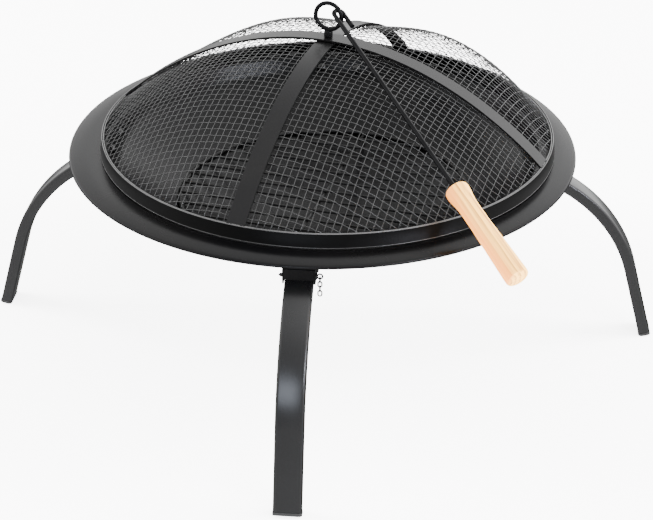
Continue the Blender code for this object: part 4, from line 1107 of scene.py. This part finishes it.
# %% Floor
FLOOR_REACH = 30.0
FLOOR_WHITE = (0.90, 0.89, 0.89, 1.0)
FLOOR_GLOW = 5.0
floor_bm = bmesh.new()
bmesh.ops.create_grid(floor_bm, x_segments=1, y_segments=1, size=FLOOR_REACH)
floor_mesh = bpy.data.meshes.new("floor")
floor_bm.to_mesh(floor_mesh)
floor_bm.free()
floor = bpy.data.objects.new("floor", floor_mesh)
bpy.context.scene.collection.objects.link(floor)
white, white_tree = new_look("floor_white")
fill(white_tree, white_tree.nodes["Principled BSDF"], {
    "Base Color": FLOOR_WHITE,
    "Roughness": 0.9,
    "Specular IOR Level": 0.0,
    "Emission Color": (1.0, 1.0, 1.0, 1.0),
    "Emission Strength": FLOOR_GLOW,
})
floor_mesh.materials.append(white)
floor.visible_glossy = False
print("floor set")

# %% Surround
SKY_FAR_LEFT = 4.0
SKY_LEFT = 1.9
SKY_RIGHT = 4.9
FRONT_SHARE = 0.35
BELOW_FRONT = 2.2
BELOW_BACK = 0.25
world = bpy.data.worlds.new("studio")
world.use_nodes = True
sky = world.node_tree
axes = add_node(sky, "SeparateXYZ", {"Vector": add_node(sky, "TexCoord", {})["Generated"]})


def sky_ramp(axis, reach, levels):
    """Turns one part of the view's direction into a brightness. A level may be another ramp."""
    return map_range(sky, axes[axis], reach, levels, interpolation_type="SMOOTHSTEP")


left = sky_ramp("X", (-0.75, -0.25), (SKY_FAR_LEFT, SKY_LEFT))
above = sky_ramp("X", (-0.8, 0.8), (left, SKY_RIGHT))
shaded = math_node(sky, "MULTIPLY", above, sky_ramp("Y", (-0.9, -0.2), (FRONT_SHARE, 1.0)))
below = sky_ramp("Y", (-0.5, 0.2), (BELOW_FRONT, BELOW_BACK))
fill(sky, sky.nodes["Background"], {
    "Color": (1.0, 1.0, 1.0, 1.0),
    "Strength": sky_ramp("Z", (-0.14, 0.06), (below, shaded)),
})
bpy.context.scene.world = world
print("surround nodes:", len(sky.nodes))

# %% Lights
NEUTRAL = (1.0, 1.0, 1.0)
COOL = (0.86, 0.89, 1.0)
COOLER = (0.80, 0.87, 1.0)
SIDE_POWER = 220.0
STRIP_POWER = 75.0
FRONT_POWER = 26.0


def area_light(name, place, aim, size, power, colour=NEUTRAL, mirrored=True):
    """Adds a soft light that looks at a point. One that isn't mirrored lights matt surfaces only."""
    data = bpy.data.lights.new(name, "AREA")
    data.shape = "RECTANGLE"
    data.size = size[0]
    data.size_y = size[1]
    data.energy = power
    data.color = colour
    item = bpy.data.objects.new(name, data)
    item.location = place
    item.visible_glossy = mirrored
    item.rotation_euler = (Vector(aim) - Vector(place)).to_track_quat("-Z", "Y").to_euler()
    bpy.context.scene.collection.objects.link(item)


area_light("left_light", (-2.4, 0.4, 1.6), (0.0, 0.0, 0.2), (1.2, 1.2), SIDE_POWER, mirrored=False)
area_light("right_light", (2.4, 0.4, 1.6), (0.0, 0.0, 0.2), (1.2, 1.2), SIDE_POWER, mirrored=False)
area_light("strip_light", (1.9, -1.7, 1.3), (0.2, -0.1, 0.22), (1.6, 0.12), STRIP_POWER, COOL)
area_light("front_light", (-0.4, -2.6, 1.05), (0.0, -0.3, 0.15), (1.0, 0.7), FRONT_POWER, COOLER)
print("lights:", len(bpy.data.lights))

# %% Camera
CAMERA_PLACE = (0.1386, -1.6078, 0.9967)
CAMERA_TURN = 0.0827
CAMERA_DOWN = math.radians(29.79)
CAMERA_ROLL = 0.0073
camera_data = bpy.data.cameras.new("camera")
camera_data.sensor_width = 36.0
camera_data.sensor_fit = "HORIZONTAL"
camera_data.lens = 88.29
camera = bpy.data.objects.new("camera", camera_data)
camera.matrix_world = (Matrix.Translation(CAMERA_PLACE) @ Matrix.Rotation(CAMERA_TURN, 4, "Z")
                       @ Matrix.Rotation(math.pi / 2.0 - CAMERA_DOWN, 4, "X")
                       @ Matrix.Rotation(CAMERA_ROLL, 4, "Z"))
bpy.context.scene.collection.objects.link(camera)
bpy.context.scene.camera = camera
print("camera lens:", camera_data.lens)
